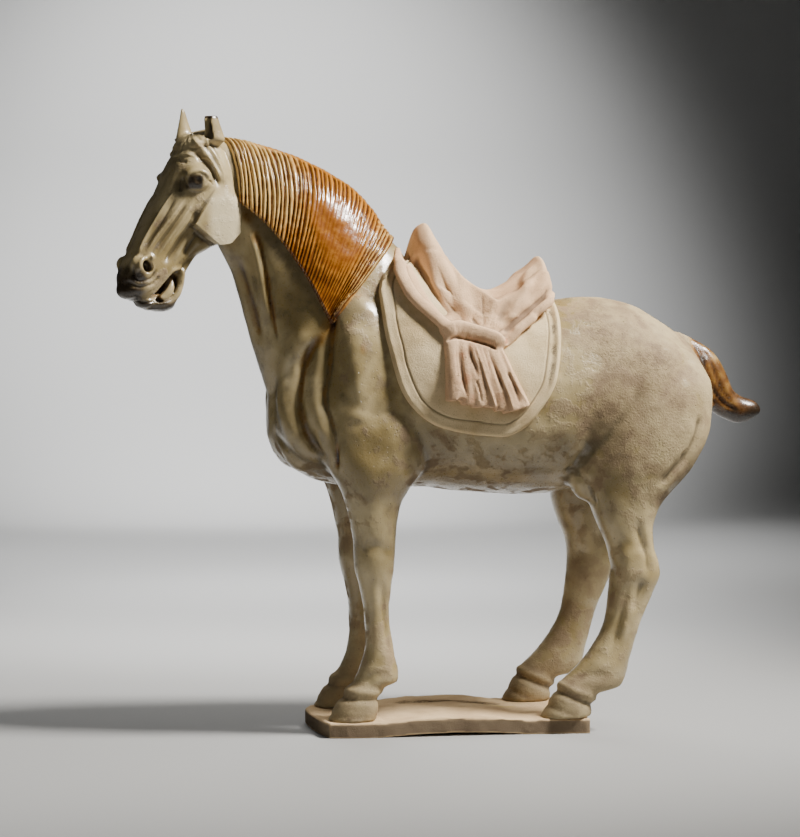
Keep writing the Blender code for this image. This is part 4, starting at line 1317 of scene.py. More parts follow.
    def solid(self) -> Mesh:
        """The head before its lines are drawn, with mouth, nostrils, pupils and ears hollowed.

        Returns:
            The mesh, in the head's own frame.
        """
        lumps, tools = Lumps(), Lumps()
        for rows in (self.skull, self.lower_jaw):
            lumps.loft(paired_sections(tuple((*row[:4], 0, *row[4:]) for row in rows)))
        lips = eased(self.mouth + self.mouth[:1], 4)[:-1]
        for side in Side:
            out = -side.value
            for (x, y, z), radii, turn in self.paired_masses:
                lumps.ball((x, y * out, z), radii, turn)
            lumps.loft(self.ear_rings(side))
            tools.loft(self.ear_rings(side, *self.ear_hollow)[self.ear_hollow_from:])
            for (x, y, z), radii, turn in (self.nostril, self.pupil):
                tools.ball((x, y * out, z), radii, turn)
            tools.loft([np.array([(f, y * out, u) for f, u in lips]) for y in self.mouth_span])
        for centre, radii, turn in self.middle_masses:
            lumps.ball(centre, radii, turn)
        again = Lumps()
        again.add_mesh(hollowed(lumps.fused("head", 1.1, 2), tools.fused("tools", 0.7, 1)))
        for side in Side:
            path = [Vector((f, side.value * v, u)) for f, v, u in eased(self.gum, 3)]
            again.tube(path, self.gum_radii, 0.9)
        return again.fused("head", self.voxel, 2)

    def raise_cheeks(self, clay: Clay) -> None:
        """Builds up the flat cheek plates, with their sharp front edges.

        Args:
            clay: the head's skin.
        """
        outline = np.array(self.cheek, float)
        spots = clay.points[:, [0, 2]]
        inside = {True: np.full(len(spots), np.inf), False: np.full(len(spots), np.inf)}
        for i, (a, b) in enumerate(zip(outline, np.roll(outline, -1, axis=0))):
            span = b - a
            across = np.array((-span[1], span[0])) / np.linalg.norm(span)
            sharp = i < self.cheek_sharp_sides
            inside[sharp] = np.minimum(inside[sharp], -(spots - a) @ across)
        f, v, u = clay.points.T
        middle_f, middle_u = self.cheek_middle
        plate = self.cheek_out - ((f - middle_f) ** 2 + (u - middle_u) ** 2) / self.cheek_roundness
        rise = np.clip(plate - np.abs(v), 0, self.cheek_most) * step(np.abs(v), 9, 14)
        clay.points[:, 1] += np.sign(v) * rise * step(inside[True], -0.5, 0.7) * step(inside[False], -3, 13)

    def comb_fringe(self, clay: Clay) -> None:
        """Thickens the hair on the forehead down to its edge, and combs it.

        Args:
            clay: the head's skin.
        """
        f, v, u = clay.points.T
        table = np.array(self.fringe)
        edge = np.interp(v, table[:, 0], table[:, 1])
        on_front = step(f, 4, 9) * step(u, 14, -2)
        fan = np.arctan2(v, np.maximum(-u + 6, 1))
        comb = np.cos(fan * 2 * math.pi * self.strands / self.fan_width) * self.comb
        lift = (self.hair + comb) * step(u - edge, -0.5, 0.6) * on_front * step(v, -15, -8)
        clay.points += clay.normals() * lift[:, None]

    def build(self) -> Clay:
        """Models the head.

        Returns:
            The worked skin, in the horse's frame and in parts.
        """
        clay = Clay(self.solid())
        self.raise_cheeks(clay)
        self.comb_fringe(clay)
        clay.write()
        skin = surface_of(clay.mesh)
        for mark in self.strokes + self.lone_strokes:
            paths = []
            for side in Side if mark in self.strokes else (Side.LEFT,):
                line = [Vector((f, -side.value * v, u)) for f, v, u in eased(mark.path, 4)]
                paths.append(np.array([tuple(skin.find_nearest(point)[0]) for point in line]))
            clay.stroke(mark, paths)
        clay.press((20, 8, 0.22))
        self.tint(clay)
        place = np.array(self.frame())
        clay.points = clay.points @ place[:3, :3].T + place[:3, 3]
        return clay

    def tint(self, clay: Clay) -> None:
        """Says where the glaze on the head pooled or wore off, and where light and shade are painted.

        Args:
            clay: the head's skin, with its strokes.
        """
        points, tints = clay.points, clay.tints
        f, v, u = points.T
        out = np.abs(v)
        hollow = np.clip(clay.lie_of(8, 0.5) * 0.75 + clay.lie_of(60, 2.6) * 0.8, -1, 1)
        deep = step(hollow, 0.15, 0.7)
        cheek = step(f, 14, -2) * step(u, -40, -52) * step(out, 16, 21)
        muzzle = step(f, 48, 64) * step(u, -94, -114) + 0.8 * step(u, -124, -132)
        chip = step(u, 12.8, 14.0) * step(v, 4, 8)
        in_ears = step(u, -2, 6) * deep
        in_mouth = patch(f - 34, u + 118, 13, 13) * step(out, 9.0, 7.0)
        in_nose = patch(f - 54.5, u + 101.5, 5.5, 6.5) * deep
        in_eye = patch(f - 18.8, u + 36.4, 5.5, 6.0, 6) * step(out, 18, 22)
        corner = patch(f - 28.5, u + 38.5, 5, 6) * step(out, 8, 12)
        tints[Tint.HOLLOW] = hollow
        tints[Tint.WORN] = 0.20 + 0.22 * cheek + 0.20 * ripples(points, 22, 6)
        # Painted light: the cheek plates are painted paler, as lit
        tints[Tint.PALE_AND_LIT] = 0.9 * cheek
        # Painted shade in the ears, mouth, nostrils, eye sockets and inner eye corners; the muzzle is dark
        # glaze with painted shade, darker towards its bottom; the chipped ear is burnt dark
        tints[Tint.DARK] = (1.05 * muzzle * (1 + 0.25 * ripples(points, 9, 2)) + 0.9 * chip + 0.7 * in_ears
                            + 0.75 * in_mouth + 1.1 * in_nose + 0.95 * in_eye + 0.55 * corner)
        tints[Tint.AMBER] = 0.5 * in_mouth + 0.25 * chip


@dataclass
class Mane:
    """Combed hair down the left of the neck, drawn together to a point at the shoulder."""

    lines: int = 38
    relief: float = 3.2
    comb: float = 1.2
    sunk: float = 0.9
    first: tuple[float, float] = (8.9, 7.25)
    last: tuple[float, float] = (1.50, 1.67)
    hem: float = 96.0
    over_crest: float = -16.0
    columns_a_line: int = 12
    rows: int = 150
    neck_steps: int = 8

    def neck_point(self, skin: BVHTree, table: np.ndarray, row: float,
                   angle: float) -> tuple[Vector, Vector]:
        """Where the skin lies round the neck.

        Args:
            skin: the body's surface.
            table: the neck's rows, each gap split in steps.
            row: which row, with a fraction.
            angle: turn from the crest to the left, in radians.

        Returns:
            The point and the skin's normal there.
        """
        at = min(max(row * self.neck_steps, 0), len(table) - 1.001)
        low = int(at)
        line = table[low] + (table[low + 1] - table[low]) * (at - low)
        a, b = Vector((line[0], line[4], line[1])), Vector((line[2], line[4], line[3]))
        way = (a - b) / 2 * math.cos(angle) + Vector((0, -line[5], 0)) * math.sin(angle)
        return skin.ray_cast((a + b) / 2, way.normalized())[:2]

    def roots(self, body: Body, skin: BVHTree) -> tuple[np.ndarray, np.ndarray]:
        """A grid of points on the neck under the hair, from crest to hem, and the skin's normals there.

        Args:
            body: its neck table gives the rows.
            skin: the body's surface.

        Returns:
            Both grids, of columns x rows x 3.
        """
        table = eased(body.neck, self.neck_steps)
        s = np.linspace(0, 1, self.lines * self.columns_a_line + 1)
        v = np.linspace(0, 1, self.rows)
        crest = self.first[0] + (self.last[0] - self.first[0]) * s
        hem = self.first[1] + (self.last[1] - self.first[1]) * (1 - (1 - s) ** 1.6)
        base = np.empty((len(s), len(v), 3))
        up = np.empty_like(base)
        for i in range(len(s)):
            for k in range(len(v)):
                row = crest[i] + (hem[i] - crest[i]) * v[k] ** 1.4
                angle = math.radians(self.over_crest + (self.hem - self.over_crest) * v[k])
                base[i, k], up[i, k] = self.neck_point(skin, table, row, angle)
        return base, up

    def build(self, body: Body, skin: BVHTree) -> Clay:
        """Lays the hair on the neck.

        Args:
            body: its neck table gives the rows.
            skin: the body's surface.

        Returns:
            The worked sheet with its tints.
        """
        base, up = self.roots(body, skin)
        columns, rows = base.shape[:2]
        along = np.repeat(np.linspace(0, 1, columns)[:, None], rows, axis=1)
        reach, run = run_along(base, 0), run_along(base, 1)
        crest = round(self.over_crest / (self.over_crest - self.hem) * (rows - 1))
        below = run - run[:, [crest]]
        down = below / below[:, -1:]
        to_hem, to_end = run[:, -1:] - run, reach[-1:] - reach
        edge = np.minimum(np.minimum(to_hem, run + 0.8), np.minimum(reach, to_end) + 0.15)
        # Where the glaze pooled, where the comb ran lightly, the bound edge by the crest, and the swept end
        pooled = step(1 - (((along - 0.63) / 0.26) ** 2 + ((down - 0.50) / 0.33) ** 2), 0.0, 0.75)
        fine = step(down, 0.45, 0.75) * step(along, 0.40, 0.55) * step(along, 0.9, 0.78)
        band = step(below, 9.0, 5.0) * step(along, 0.05, 0.25)
        swept = step(along, 0.80, 0.90)
        # The comb's ridges, and how strongly each place is combed
        drift = 0.10 * np.sin(along * 61 + down * 5) + 0.07 * np.sin(along * 143 - down * 9)
        ridge = (0.5 + 0.5 * np.cos(2 * math.pi * (self.lines * along + drift))) ** 0.7
        strength = (1 - 0.95 * pooled) * (1 - 0.5 * fine) * (1 - 0.72 * band)
        strength *= (1 + 0.35 * swept) * step(edge, 0.2, 3.0)
        heights = 0.78 + 0.22 * np.sin(along * self.lines * 2.4 + 1) * np.sin(down * 4 + along * 9)
        lip = bell(to_hem, 1.9, 1.4) * step(along, 0.45, 0.7) * 0.9 + bell(to_end, 1.7, 1.2)
        rise = (self.relief + self.sunk) * rolled_edge(edge, 3.0) - self.sunk
        rise += self.comb * (2 * ridge - 1.2) * strength * heights + lip + 0.7 * pooled + 0.25 * band
        spots = base.reshape(-1, 3)
        rise += (ripples(spots, 14, 51) * 0.22 + ripples(spots, 5, 52) * 0.05).reshape(rise.shape)
        lumps = Lumps()
        lumps.sheet(base + up * rise[..., None], base - up * 2.2, closed=False)
        clay = Clay(lumps.mesh("mane"))
        front, low, middle = step(along, 0.55, 0.12), step(down, 0.60, 1.0), step(along, 0.2, 0.5)
        # The front is pale from thin glaze; the beads along the hem and the end, and the upper swept
        # ridges, are paler partly from thin glaze and partly as painted highlight
        pale = 1.1 * front * (1 - 0.7 * band) * (1 - 0.6 * low) + np.clip(lip, 0, 1) * 0.8
        shown = ridge * (0.6 + 0.4 * heights) * (1 - 0.65 * low * middle) + 0.5 * band + 0.08 * front
        for tint, values in (
            (Tint.RIDGE, shown),
            (Tint.PALE_AND_LIT, pale + 0.5 * swept * (1 - low)),
            (Tint.AMBER, pooled * 0.95 - lip + 0.75 * low * step(along, 0.15, 0.5)),
        ):
            clay.tints[tint][:columns * rows] = np.clip(values, 0, 1).reshape(-1)
        return clay


@dataclass
class SaddleCloth:
    """The cloth over the back and both flanks, with a line pressed along its border."""

    relief: float = 3.9
    sunk: float = 0.8
    hem: Rows = (
        (-62.5, 352), (-62.8, 345), (-61.0, 310), (-56.5, 287), (-49.5, 262), (-38.5, 244.5),
        (-19, 230.5), (7, 224.5), (30, 222.5), (48, 229), (61, 243.5), (73, 264), (79.5, 293),
        (82.5, 316), (84, 334),
    )
    front: Rows = ((334, -62.8), (345, -60.5), (354, -55), (363, -46), (370, -38), (380, -34))
    border: float = 10.5
    columns: int = 190
    rows: int = 380

    def drape(self, skin: BVHTree) -> tuple[np.ndarray, np.ndarray]:
        """A grid of points on the back under the cloth, and the skin's normals there.

        Args:
            skin: the body's surface.

        Returns:
            Both grids, of columns x rows x 3.
        """
        hem, front = eased(self.hem, 8), eased(self.front, 4)
        first, last = hem[0, 0], hem[-1, 0]
        low_x = hem[:, 0].min()
        turned = 3
        base = np.empty((self.columns + 1, self.rows + 1, 3))
        up = np.empty_like(base)
        for i in range(self.columns + 1):
            x = (low_x + last) / 2 - (last - low_x) / 2 * math.cos(math.pi * i / self.columns)
            if x > hem[turned * 8, 0]:
                target = np.interp(x, hem[turned:, 0], hem[turned:, 1])
            elif x > first:
                target = np.interp(x, hem[:, 0], hem[:, 1])
            else:
                target = np.interp(x, (low_x, first), (345, 352))
            centre = Vector((x, 0, 268))
            reach = {side: self.reach(skin, centre, float(target), side) for side in Side}
            fade = (1 - i / self.columns) ** 2
            for k in range(self.rows + 1):
                v = 2 * k / self.rows - 1
                angle = abs(v) * reach[Side.LEFT if v < 0 else Side.RIGHT]
                way = Vector((0, math.copysign(math.sin(angle), v), math.cos(angle)))
                base[i, k], up[i, k] = skin.ray_cast(centre, way)[:2]
                aside = float(np.interp(base[i, k, 2], front[:, 0], front[:, 1])) - first
                if aside * fade > 0.01:
                    base[i, k], up[i, k] = skin.ray_cast(centre + Vector((aside * fade, 0, 0)), way)[:2]
        return base, up

    def inside_of(self, spots: np.ndarray) -> np.ndarray:
        """How far inside the cloth's edge each point lies, seen from the side.

        Args:
            spots: the points, one row each.

        Returns:
            The distances.
        """
        inside = np.full(len(spots), np.inf)
        edge = np.concatenate([np.flip(eased(self.front, 4), axis=1)[::-1], eased(self.hem, 8)])
        for a, b in zip(edge, edge[1:]):
            span = b - a
            t = np.clip(((spots[:, [0, 2]] - a) @ span) / (span @ span), 0, 1)
            inside = np.minimum(inside, np.linalg.norm(spots[:, [0, 2]] - a - t[:, None] * span, axis=1))
        return inside

    def build(self, skin: BVHTree) -> Clay:
        """Lays the cloth on the back.

        Args:
            skin: the body's surface.

        Returns:
            The worked sheet with its tints.
        """
        base, up = self.drape(skin)
        spots = base.reshape(-1, 3)
        x, _, z = spots.T
        inside = self.inside_of(spots)
        behind = step(x, 62, 72) * step(z, 240, 262)
        line = 0.75 * bell(inside - self.border + 0.5 * ripples(spots, 30, 23), 0, 0.7)
        channel = behind * bell(inside, 6.0, 2.4)
        rise = (self.relief + self.sunk) * rolled_edge(inside, 3.2) - self.sunk
        rise += 0.5 * bell(inside, 3.0, 2.6) - line - channel + 0.22 * ripples(spots, 18, 21)
        lumps = Lumps()
        lumps.sheet(base + up * rise.reshape(*base.shape[:2], 1), base - up * 2.4, closed=False)
        clay = Clay(lumps.mesh("saddle_cloth"))
        patchy = step(ripples(spots, 9, 24), -0.5, 0.8)
        for tint, values in (
            (Tint.HOLLOW, np.clip(line * 1.1 + channel * 0.5, 0, 1)),
            (Tint.CRUST, 0.6 * behind * bell(inside, 6.0, 2.2) * patchy),
            (Tint.PALE_AND_LIT, bell(inside, 0, 2.6) * (0.25 + 0.65 * behind)),
        ):
            clay.tints[tint][:len(spots)] = values
        return clay

    def reach(self, skin: BVHTree, centre: Vector, target: float, side: Side) -> float:
        """The turn from the top, in radians, at which the cloth comes down to this height.

        Args:
            skin: the body's surface.
            centre: what it is turned round.
            target: the height.
            side: which flank.

        Returns:
            The turn.
        """
        low, high = math.radians(5), math.radians(150)
        for _ in range(22):
            middle = (low + high) / 2
            way = Vector((0, side.value * math.sin(middle), math.cos(middle)))
            if skin.ray_cast(centre, way)[0].z > target:
                low = middle
            else:
                high = middle
        return low


@dataclass
class Saddle:
    """Saddle tree under a cover that is gathered, tied over the flank and left to hang in pleats."""

    voxel: float = 1.0
    tree: Rows = (
        (-33.5, 366, 338, 15, 2.0), (-31, 374, 330, 22, 2.1), (-25, 388, 326, 28, 2.2),
        (-18.5, 391.5, 322, 33, 2.2), (-11, 380, 318, 38, 2.2), (4, 356, 312, 44, 2.2),
        (31, 338, 306, 47, 2.3), (56, 349, 306, 47, 2.3), (68, 360, 308, 45, 2.2),
        (74, 365.5, 310, 41, 2.2), (78, 356, 314, 36, 2.1), (81, 338, 322, 28, 2.0),
    )
    cover: Rows = (
        (-43, 370, 76, 352), (-46, 354, 77, 341), (-43, 340, 73, 330), (-36, 327, 63, 318),
        (-25, 315, 46, 305), (-12, 304, 32, 295),
    )
    # Radius, flatness and path of each rolled edge
    rolls: tuple = (
        (5.4, 0.7, ((-43.5, 369.5), (-45.5, 353), (-41, 337), (-35, 328.5), (-27, 320.5), (-19, 314),
                    (-13, 309))),
        (4.0, 0.7, ((79, 335), (72, 328), (65, 322), (57, 316), (48, 309), (40, 302), (34, 296))),
    )
    band: Rows = (
        (-17, 303), (-11, 306), (-4, 307.2), (4, 305.6), (12, 303.4), (22, 300.4), (29, 297), (33.5, 291.5),
    )
    # Place, radii and turn of the tools that hollow the ends of the pleats
    pleat_ends: tuple = (
        (-3.5, 250.0, (3.8, 4.0, 4.0), 12), (14.5, 243.0, (4.4, 4.2, 4.0), 0),
        (38.5, 240.0, (5.2, 4.4, 4.2), -8),
    )
    band_half: float = 5.8
    swell: float = 1.2
    # The cover: its columns and gathers, their depth, its rise at the seat and what the tie adds, how far
    # it reaches in, and how far it stays below the seat there and what the tie adds
    cover_columns: int = 64
    gathers: int = 9
    gather_depth: float = 0.25
    cover_rise: tuple[float, float] = (1.2, 2.2)
    cover_depth: float = 4
    below_seat: tuple[float, float] = (9, 4)
    band_rise: float = 1.2
    band_depth: float = 4.2
    pleat_steps: int = 16
    pleat_rise: tuple[float, float] = (0.3, 0.2)
    pleat_flat: float = 0.82
    pleats: Rows = (
        (-9, 300, -6.0, 251, 6.4, 9.2), (-1, 300, 4.0, 248, 5.6, 7.4), (6, 299, 13, 246, 5.6, 8.4),
        (12, 298, 21.5, 246, 5.4, 7.2), (18, 296, 30, 244, 5.4, 7.8), (23, 294, 38, 243, 5.2, 8.8),
        (27, 291, 45, 245, 4.4, 7.0),
    )
    strokes: tuple[Stroke, ...] = (
        # Pommel fold with the valley in front of it, and the cantle's ridge and valley
        Stroke(8.0, -3.4, ((-23, 380), (-19, 370), (-14, 358), (-5, 339), (4, 324), (11, 312)),
               taper=0.2),
        Stroke(5.5, 3.6, ((-32, 368), (-29, 356), (-24, 341), (-15, 326), (-7, 315)), taper=0.15),
        Stroke(6.0, -2.8, ((67, 358), (61, 349), (54, 338), (48, 329), (41, 319), (35, 311)), taper=0.2),
        Stroke(6.5, 1.6, ((57, 346), (48, 336), (40, 326), (33, 317), (28, 310)), taper=0.25),
        Stroke(7.0, 0.8, ((16, 330), (17, 320), (17, 311)), taper=0.3),
        Stroke(2.4, 2.0, ((75, 341), (68, 332), (59, 324), (49, 317), (40, 310), (32, 304))),
        # Gathers that run in to the tie
        Stroke(0.9, 0.8, ((-6, 338), (0, 328), (7, 317), (13, 309.5))),
        Stroke(0.9, 0.7, ((7, 322), (11, 314), (14.5, 309.5))),
        Stroke(0.9, 0.6, ((28, 324), (26, 316), (22.5, 308.5))),
        Stroke(0.8, 0.6, ((19, 334), (18.5, 320), (18, 309))),
        Stroke(0.9, 0.7, ((46, 317), (38, 310), (29, 304.5))),
        Stroke(0.8, 0.5, ((56, 322), (45, 314), (34, 306.5))),
        Stroke(0.9, 0.6, ((-14, 333), (-6, 323), (3, 312.5))),
        # Below the tie: creases and sharp folds of the pleats
        Stroke(1.5, 1.7, ((-4.5, 297), (-3.5, 284), (-2.5, 272), (-0.8, 262), (1.5, 254)), taper=0.35),
        Stroke(1.1, 0.9, ((-6.5, 296), (-6.0, 280), (-5.5, 266)), taper=0.3),
        Stroke(0.9, -0.8, ((-3.2, 276), (-1.8, 265), (-1.5, 255))),
        Stroke(1.6, 1.8, ((3.6, 297), (5, 286), (8, 277), (10.5, 266)), taper=0.35),
        Stroke(1.0, -1.5, ((9, 295), (13, 281), (17, 266), (21, 253), (23.5, 244))),
        Stroke(1.7, 1.9, ((18.5, 295), (21.5, 283), (26, 270), (29.5, 258)), taper=0.35),
        Stroke(1.1, 1.0, ((14.5, 296), (17.5, 284), (20.5, 272)), taper=0.3),
        Stroke(1.0, -1.2, ((24, 280), (29.5, 266), (34, 254), (36.5, 244))),
        Stroke(1.3, 1.1, ((33, 274), (38, 262), (42.5, 249))),
        Stroke(0.9, -1.1, ((29.5, 293), (34, 279), (40.5, 263), (47.5, 250), (52, 242))),
        Stroke(0.8, 1.2, ((8, 268), (11, 258), (12.5, 250))),
        Stroke(1.0, -1.6, ((-10, 252), (-8, 246.5), (-2, 243), (5, 242.5), (10, 244.5))),
        # Underside of the band, where the stained clay shows
        Stroke(1.2, 2.0, ((-14, 297.5), (-6, 300.2), (3, 298.8), (12, 296.6), (21, 293.6),
                          (27, 290.5)), stain=0.5),
        Stroke(2.2, 0.3, ((34, 300), (36, 289), (40, 274), (47, 258)), stain=0.75),
        Stroke(2.0, 0.2, ((-2, 290), (0, 275), (2, 262)), stain=0.5),
    )

    def lay(self, skin: BVHTree, rows: Rows, side: Side, rise: float, steps: int = 4) -> list[Vector]:
        """A smooth line on the flank.

        Args:
            skin: what it lies on.
            rows: x and z of its points.
            side: which flank.
            rise: how far above the skin.
            steps: how finely it is cut.

        Returns:
            The points of the line.
        """
        found = [flank(skin, x, z, side) for x, z in eased(rows, steps)]
        return [point + normal * rise for point, normal in found]

    def add_cover(self, lumps: Lumps, skin: BVHTree, side: Side) -> None:
        """Adds the gathered cover of one flank, from the seat down to the tie.

        Args:
            lumps: what it is added to.
            skin: what it lies on.
            side: which flank.
        """
        rows = eased(self.cover, 9)
        seat = np.array([row[:2] for row in self.tree])
        outer = np.empty((len(rows), self.cover_columns + 1, 3))
        inner = np.empty_like(outer)
        for i, (ax, az, bx, bz) in enumerate(rows):
            v = i / (len(rows) - 1)
            for k in range(self.cover_columns + 1):
                u = k / self.cover_columns
                x = ax + (bx - ax) * u
                top = float(np.interp(x, seat[:, 0], seat[:, 1]))
                top = top - self.below_seat[0] - self.below_seat[1] * v
                point, normal = flank(skin, x, min(az + (bz - az) * u, top), side)
                gather = self.gather_depth * math.cos(2 * math.pi * self.gathers * u) * min(1, 0.1 + v)
                outer[i, k] = point + normal * (self.cover_rise[0] + gather + self.cover_rise[1] * v)
                inner[i, k] = point - normal * self.cover_depth
        share = np.linspace(0, 1, len(rows))[:, None]
        taut = outer[:1, :, 1] + (outer[-1:, :, 1] - outer[:1, :, 1]) * share
        swell = self.swell * np.sin(math.pi * share)
        outer[:, :, 1] = side.value * np.maximum(side.value * outer[:, :, 1], side.value * taut + swell)
        lumps.sheet(outer, inner)

    def add_band(self, lumps: Lumps, skin: BVHTree, side: Side) -> None:
        """Adds the flat tie round the gathered cover.

        Args:
            lumps: what it is added to.
            skin: what it lies on.
            side: which flank.
        """
        path = self.lay(skin, self.band, side, self.band_rise, 3)
        rings = []
        for i, point in enumerate(path):
            ahead = (path[min(i + 1, len(path) - 1)] - path[max(i - 1, 0)]).normalized()
            out = Vector((0, side.value, 0))
            out = (out - ahead * out.dot(ahead)).normalized()
            taper = min(1, 0.55 + 0.35 * min(i, len(path) - 1 - i))
            depth = np.array(out) * self.band_depth * taper
            width = np.array(ahead.cross(out)) * self.band_half * taper
            rings.append(section(np.array(point), depth, width, 3.0, count=24))
        lumps.loft(rings)

    def add_rolls(self, lumps: Lumps, skin: BVHTree, side: Side) -> None:
        """Adds the rolled edges of the cover, which thin out towards their upper ends.

        Args:
            lumps: what they are added to.
            skin: what they lie on.
            side: which flank.
        """
        for radius, flat, line in self.rolls:
            path = self.lay(skin, line, side, radius * 0.3)
            lumps.tube(path, [radius * min(1, 0.45 + 0.16 * i) for i in range(len(path))], flat)

    def add_pleats(self, lumps: Lumps, skin: BVHTree, side: Side) -> None:
        """Adds the hanging ends below the tie, each a soft fold that widens downwards.

        Args:
            lumps: what they are added to.
            skin: what they hang on.
            side: which flank.
        """
        for ax, az, bx, bz, top, bottom in self.pleats:
            path, radii = [], []
            for k in range(self.pleat_steps + 1):
                t = k / self.pleat_steps
                point, normal = flank(skin, ax + (bx - ax) * t, az + (bz - az) * t, side)
                path.append(point + normal * (self.pleat_rise[0] + self.pleat_rise[1] * t))
                radii.append(top + (bottom - top) * t ** 1.4)
            lumps.tube(path, radii, self.pleat_flat)

    def tools(self, skin: BVHTree) -> Mesh:
        """What hollows the ends of the pleats.

        Args:
            skin: what they are set on.

        Returns:
            The mesh of all of them.
        """
        lumps = Lumps()
        for side in Side:
            for x, z, radii, turn in self.pleat_ends:
                point = flank(skin, x, z + 3, side)[0]
                lumps.ball((x, point.y + side.value * 0.4, z), radii, turn)
        return lumps.fused("tools", 0.9, 1)

    def build(self, body: Clay, cloth: Clay) -> Clay:
        """Models the saddle with all that hangs on it.

        Args:
            body: the skin that it sits on.
            cloth: the cloth under it.

        Returns:
            The worked skin with its tints.
        """
        tree = Lumps()
        tree.loft(upright_sections(self.tree, 5, 0.18))
        lower = tree.mesh("tree")
        for name, adders in (("cover", (self.add_cover,)), ("pleated", (self.add_rolls, self.add_pleats))):
            skin = surface_of(body.mesh, cloth.mesh, lower)
            lumps = Lumps()
            lumps.add_mesh(lower)
            for side in Side:
                for add in adders:
                    add(lumps, skin, side)
            lower = lumps.mesh(name)
        skin = surface_of(body.mesh, cloth.mesh, lower)
        whole = Lumps()
        whole.add_mesh(lower)
        for side in Side:
            self.add_band(whole, skin, side)
        again = Lumps()
        again.add_mesh(hollowed(whole.fused("saddle", self.voxel, 1), self.tools(skin)))
        clay = Clay(again.fused("saddle", self.voxel, 2))
        clay.stroke_flanks(self.strokes)
        clay.press((16, 31, 0.18))
        points, tints = clay.points, clay.tints
        tints[Tint.HOLLOW] = np.clip(clay.lie_of(7, 0.5) * 0.6 + clay.lie_of(40, 2.4) * 0.7, -1, 1)
        tails = step(points[:, 2], 304, 292)
        tints[Tint.AMBER] += 0.42 * tails * (0.6 + 0.5 * ripples(points, 12, 33))
        tints[Tint.CRUST] = 0.10 * tails * (0.6 + 0.6 * ripples(points, 15, 35))
        return clay


@dataclass
class BaseSlab:
    """The hand-rolled slab under the hooves, warped in the kiln and worn along its edges."""

    thickness: float = 11.5
    rise: float = 3.5
    voxel: float = 1.15
    sunk: float = 0.3
    columns: int = 120
    across: int = 40
    luting: float = 8
    # Where the crusted scar on its top runs: its line, its slant and its half width
    scar: tuple[float, float, float] = (30, 0.10, 5.5)
    outline: Rows = (
        (0.0, 0.09, 0.45), (0.012, 0.45, 0.60), (0.033, 0.87, 0.75), (0.098, 0.917, 0.88),
        (0.284, 0.932, 0.925), (0.517, 0.925, 0.962), (0.75, 0.94, 0.977), (0.914, 0.977, 0.992),
        (0.984, 1.0, 0.985), (1.0, 0.985, 0.90),
    )

    def build(self, body: Body, stance: Stance) -> Clay:
        """Models the slab.

        Args:
            body: its hooves give the slab's ends, width and arch.
            stance: gives the margins round the hooves.

        Returns:
            The worked skin, in parts, with its tints; its top is at Z = 0 under the hooves.
        """
        fore, hind = body.fore_leg[-1], body.hind_leg[-1]
        margin, over = stance.slab_front / stance.part, stance.slab_overhang / stance.part
        front, back = fore[1] - margin, hind[2] - over
        half = -hind[3] + hind[4] - over
        start, end = fore[2] + 2, hind[1] - body.hind_step - 2
        table = np.array(self.outline)
        outer = np.empty((self.columns + 1, self.across + 1, 3))
        inner = np.empty_like(outer)
        for i in range(self.columns + 1):
            along = i / self.columns
            x = front + (back - front) * along
            share = min(1.0, max(0.0, (x - start) / (end - start)))
            clear = 4 * share * (1 - share)
            left, right = (float(np.interp(along, table[:, 0], table[:, k])) * half for k in (1, 2))
            for k in range(self.across + 1):
                y = -left + (left + right) * k / self.across
                lift = self.rise * clear * (0.75 + 0.5 * k / self.across)
                outer[i, k] = (x, y, lift - self.sunk)
                inner[i, k] = (x, y, lift - self.thickness - self.sunk)
        lumps = Lumps()
        lumps.sheet(outer, inner)
        clay = Clay(lumps.fused("base_slab", self.voxel, 3))
        self.wear(clay, body)
        return clay

    def wear(self, clay: Clay, body: Body) -> None:
        """Rounds and chips the edges, lutes the hooves, leaves the crust on top and paints shade on the
        sides.

        Args:
            clay: the slab's skin.
            body: its hooves are luted to the slab.
        """
        points, tints = clay.points, clay.tints
        normals = clay.normals()
        sides, top = step(np.abs(normals[:, 2]), 0.85, 0.35), step(normals[:, 2], 0.4, 0.8)
        uneven = ripples(points, 26, 41) * 0.45 + ripples(points, 8, 42) * 0.08 - 0.4
        points += normals * (sides * uneven)[:, None]
        x, y, z = points.T
        luted = np.zeros(len(x))
        for rows, shift in ((body.fore_leg, 0.0), (body.hind_leg, body.hind_step)):
            _, toe, heel, out, half, _ = rows[-1]
            for side in Side:
                back = shift if side is Side.RIGHT else 0.0
                ahead = np.maximum(np.abs(x + back - (toe + heel) / 2) - (heel - toe) / 2 + self.luting, 0)
                aside = np.maximum(np.abs(y + side.value * out) - half + self.luting, 0)
                luted += bell(np.maximum(np.hypot(ahead, aside) - self.luting, 0), 0, 3.0)
        free = top * np.clip(1 - luted, 0, 1)
        z += top * np.clip(luted, 0, 1) * 1.3 * step(luted, 1.4, 0.2)
        z += free * (ripples(points, 30, 43) * 0.35 + ripples(points, 9, 44) * 0.15)
        line, slant, half = self.scar
        scar = free * bell(y - line + slant * x, 0, half) * step(x, -40, -28) * step(x, 52, 38)
        broken = step(ripples(points * np.array((1, 2.5, 1)), 7, 45), -0.3, 0.5)
        z -= scar * broken * 1.2
        tints[Tint.CRUST] = np.clip(scar * (0.4 + broken), 0, 1)
        # Painted shade: the slab's sides are darkened like hollows
        tints[Tint.HOLLOW] = np.clip(clay.lie_of(8, 0.8) * 0.4 + 0.9 * sides, -1, 1)
        tints[Tint.AMBER] = 0.75 * free * patch(x - 50, y - 12, 17, 5)


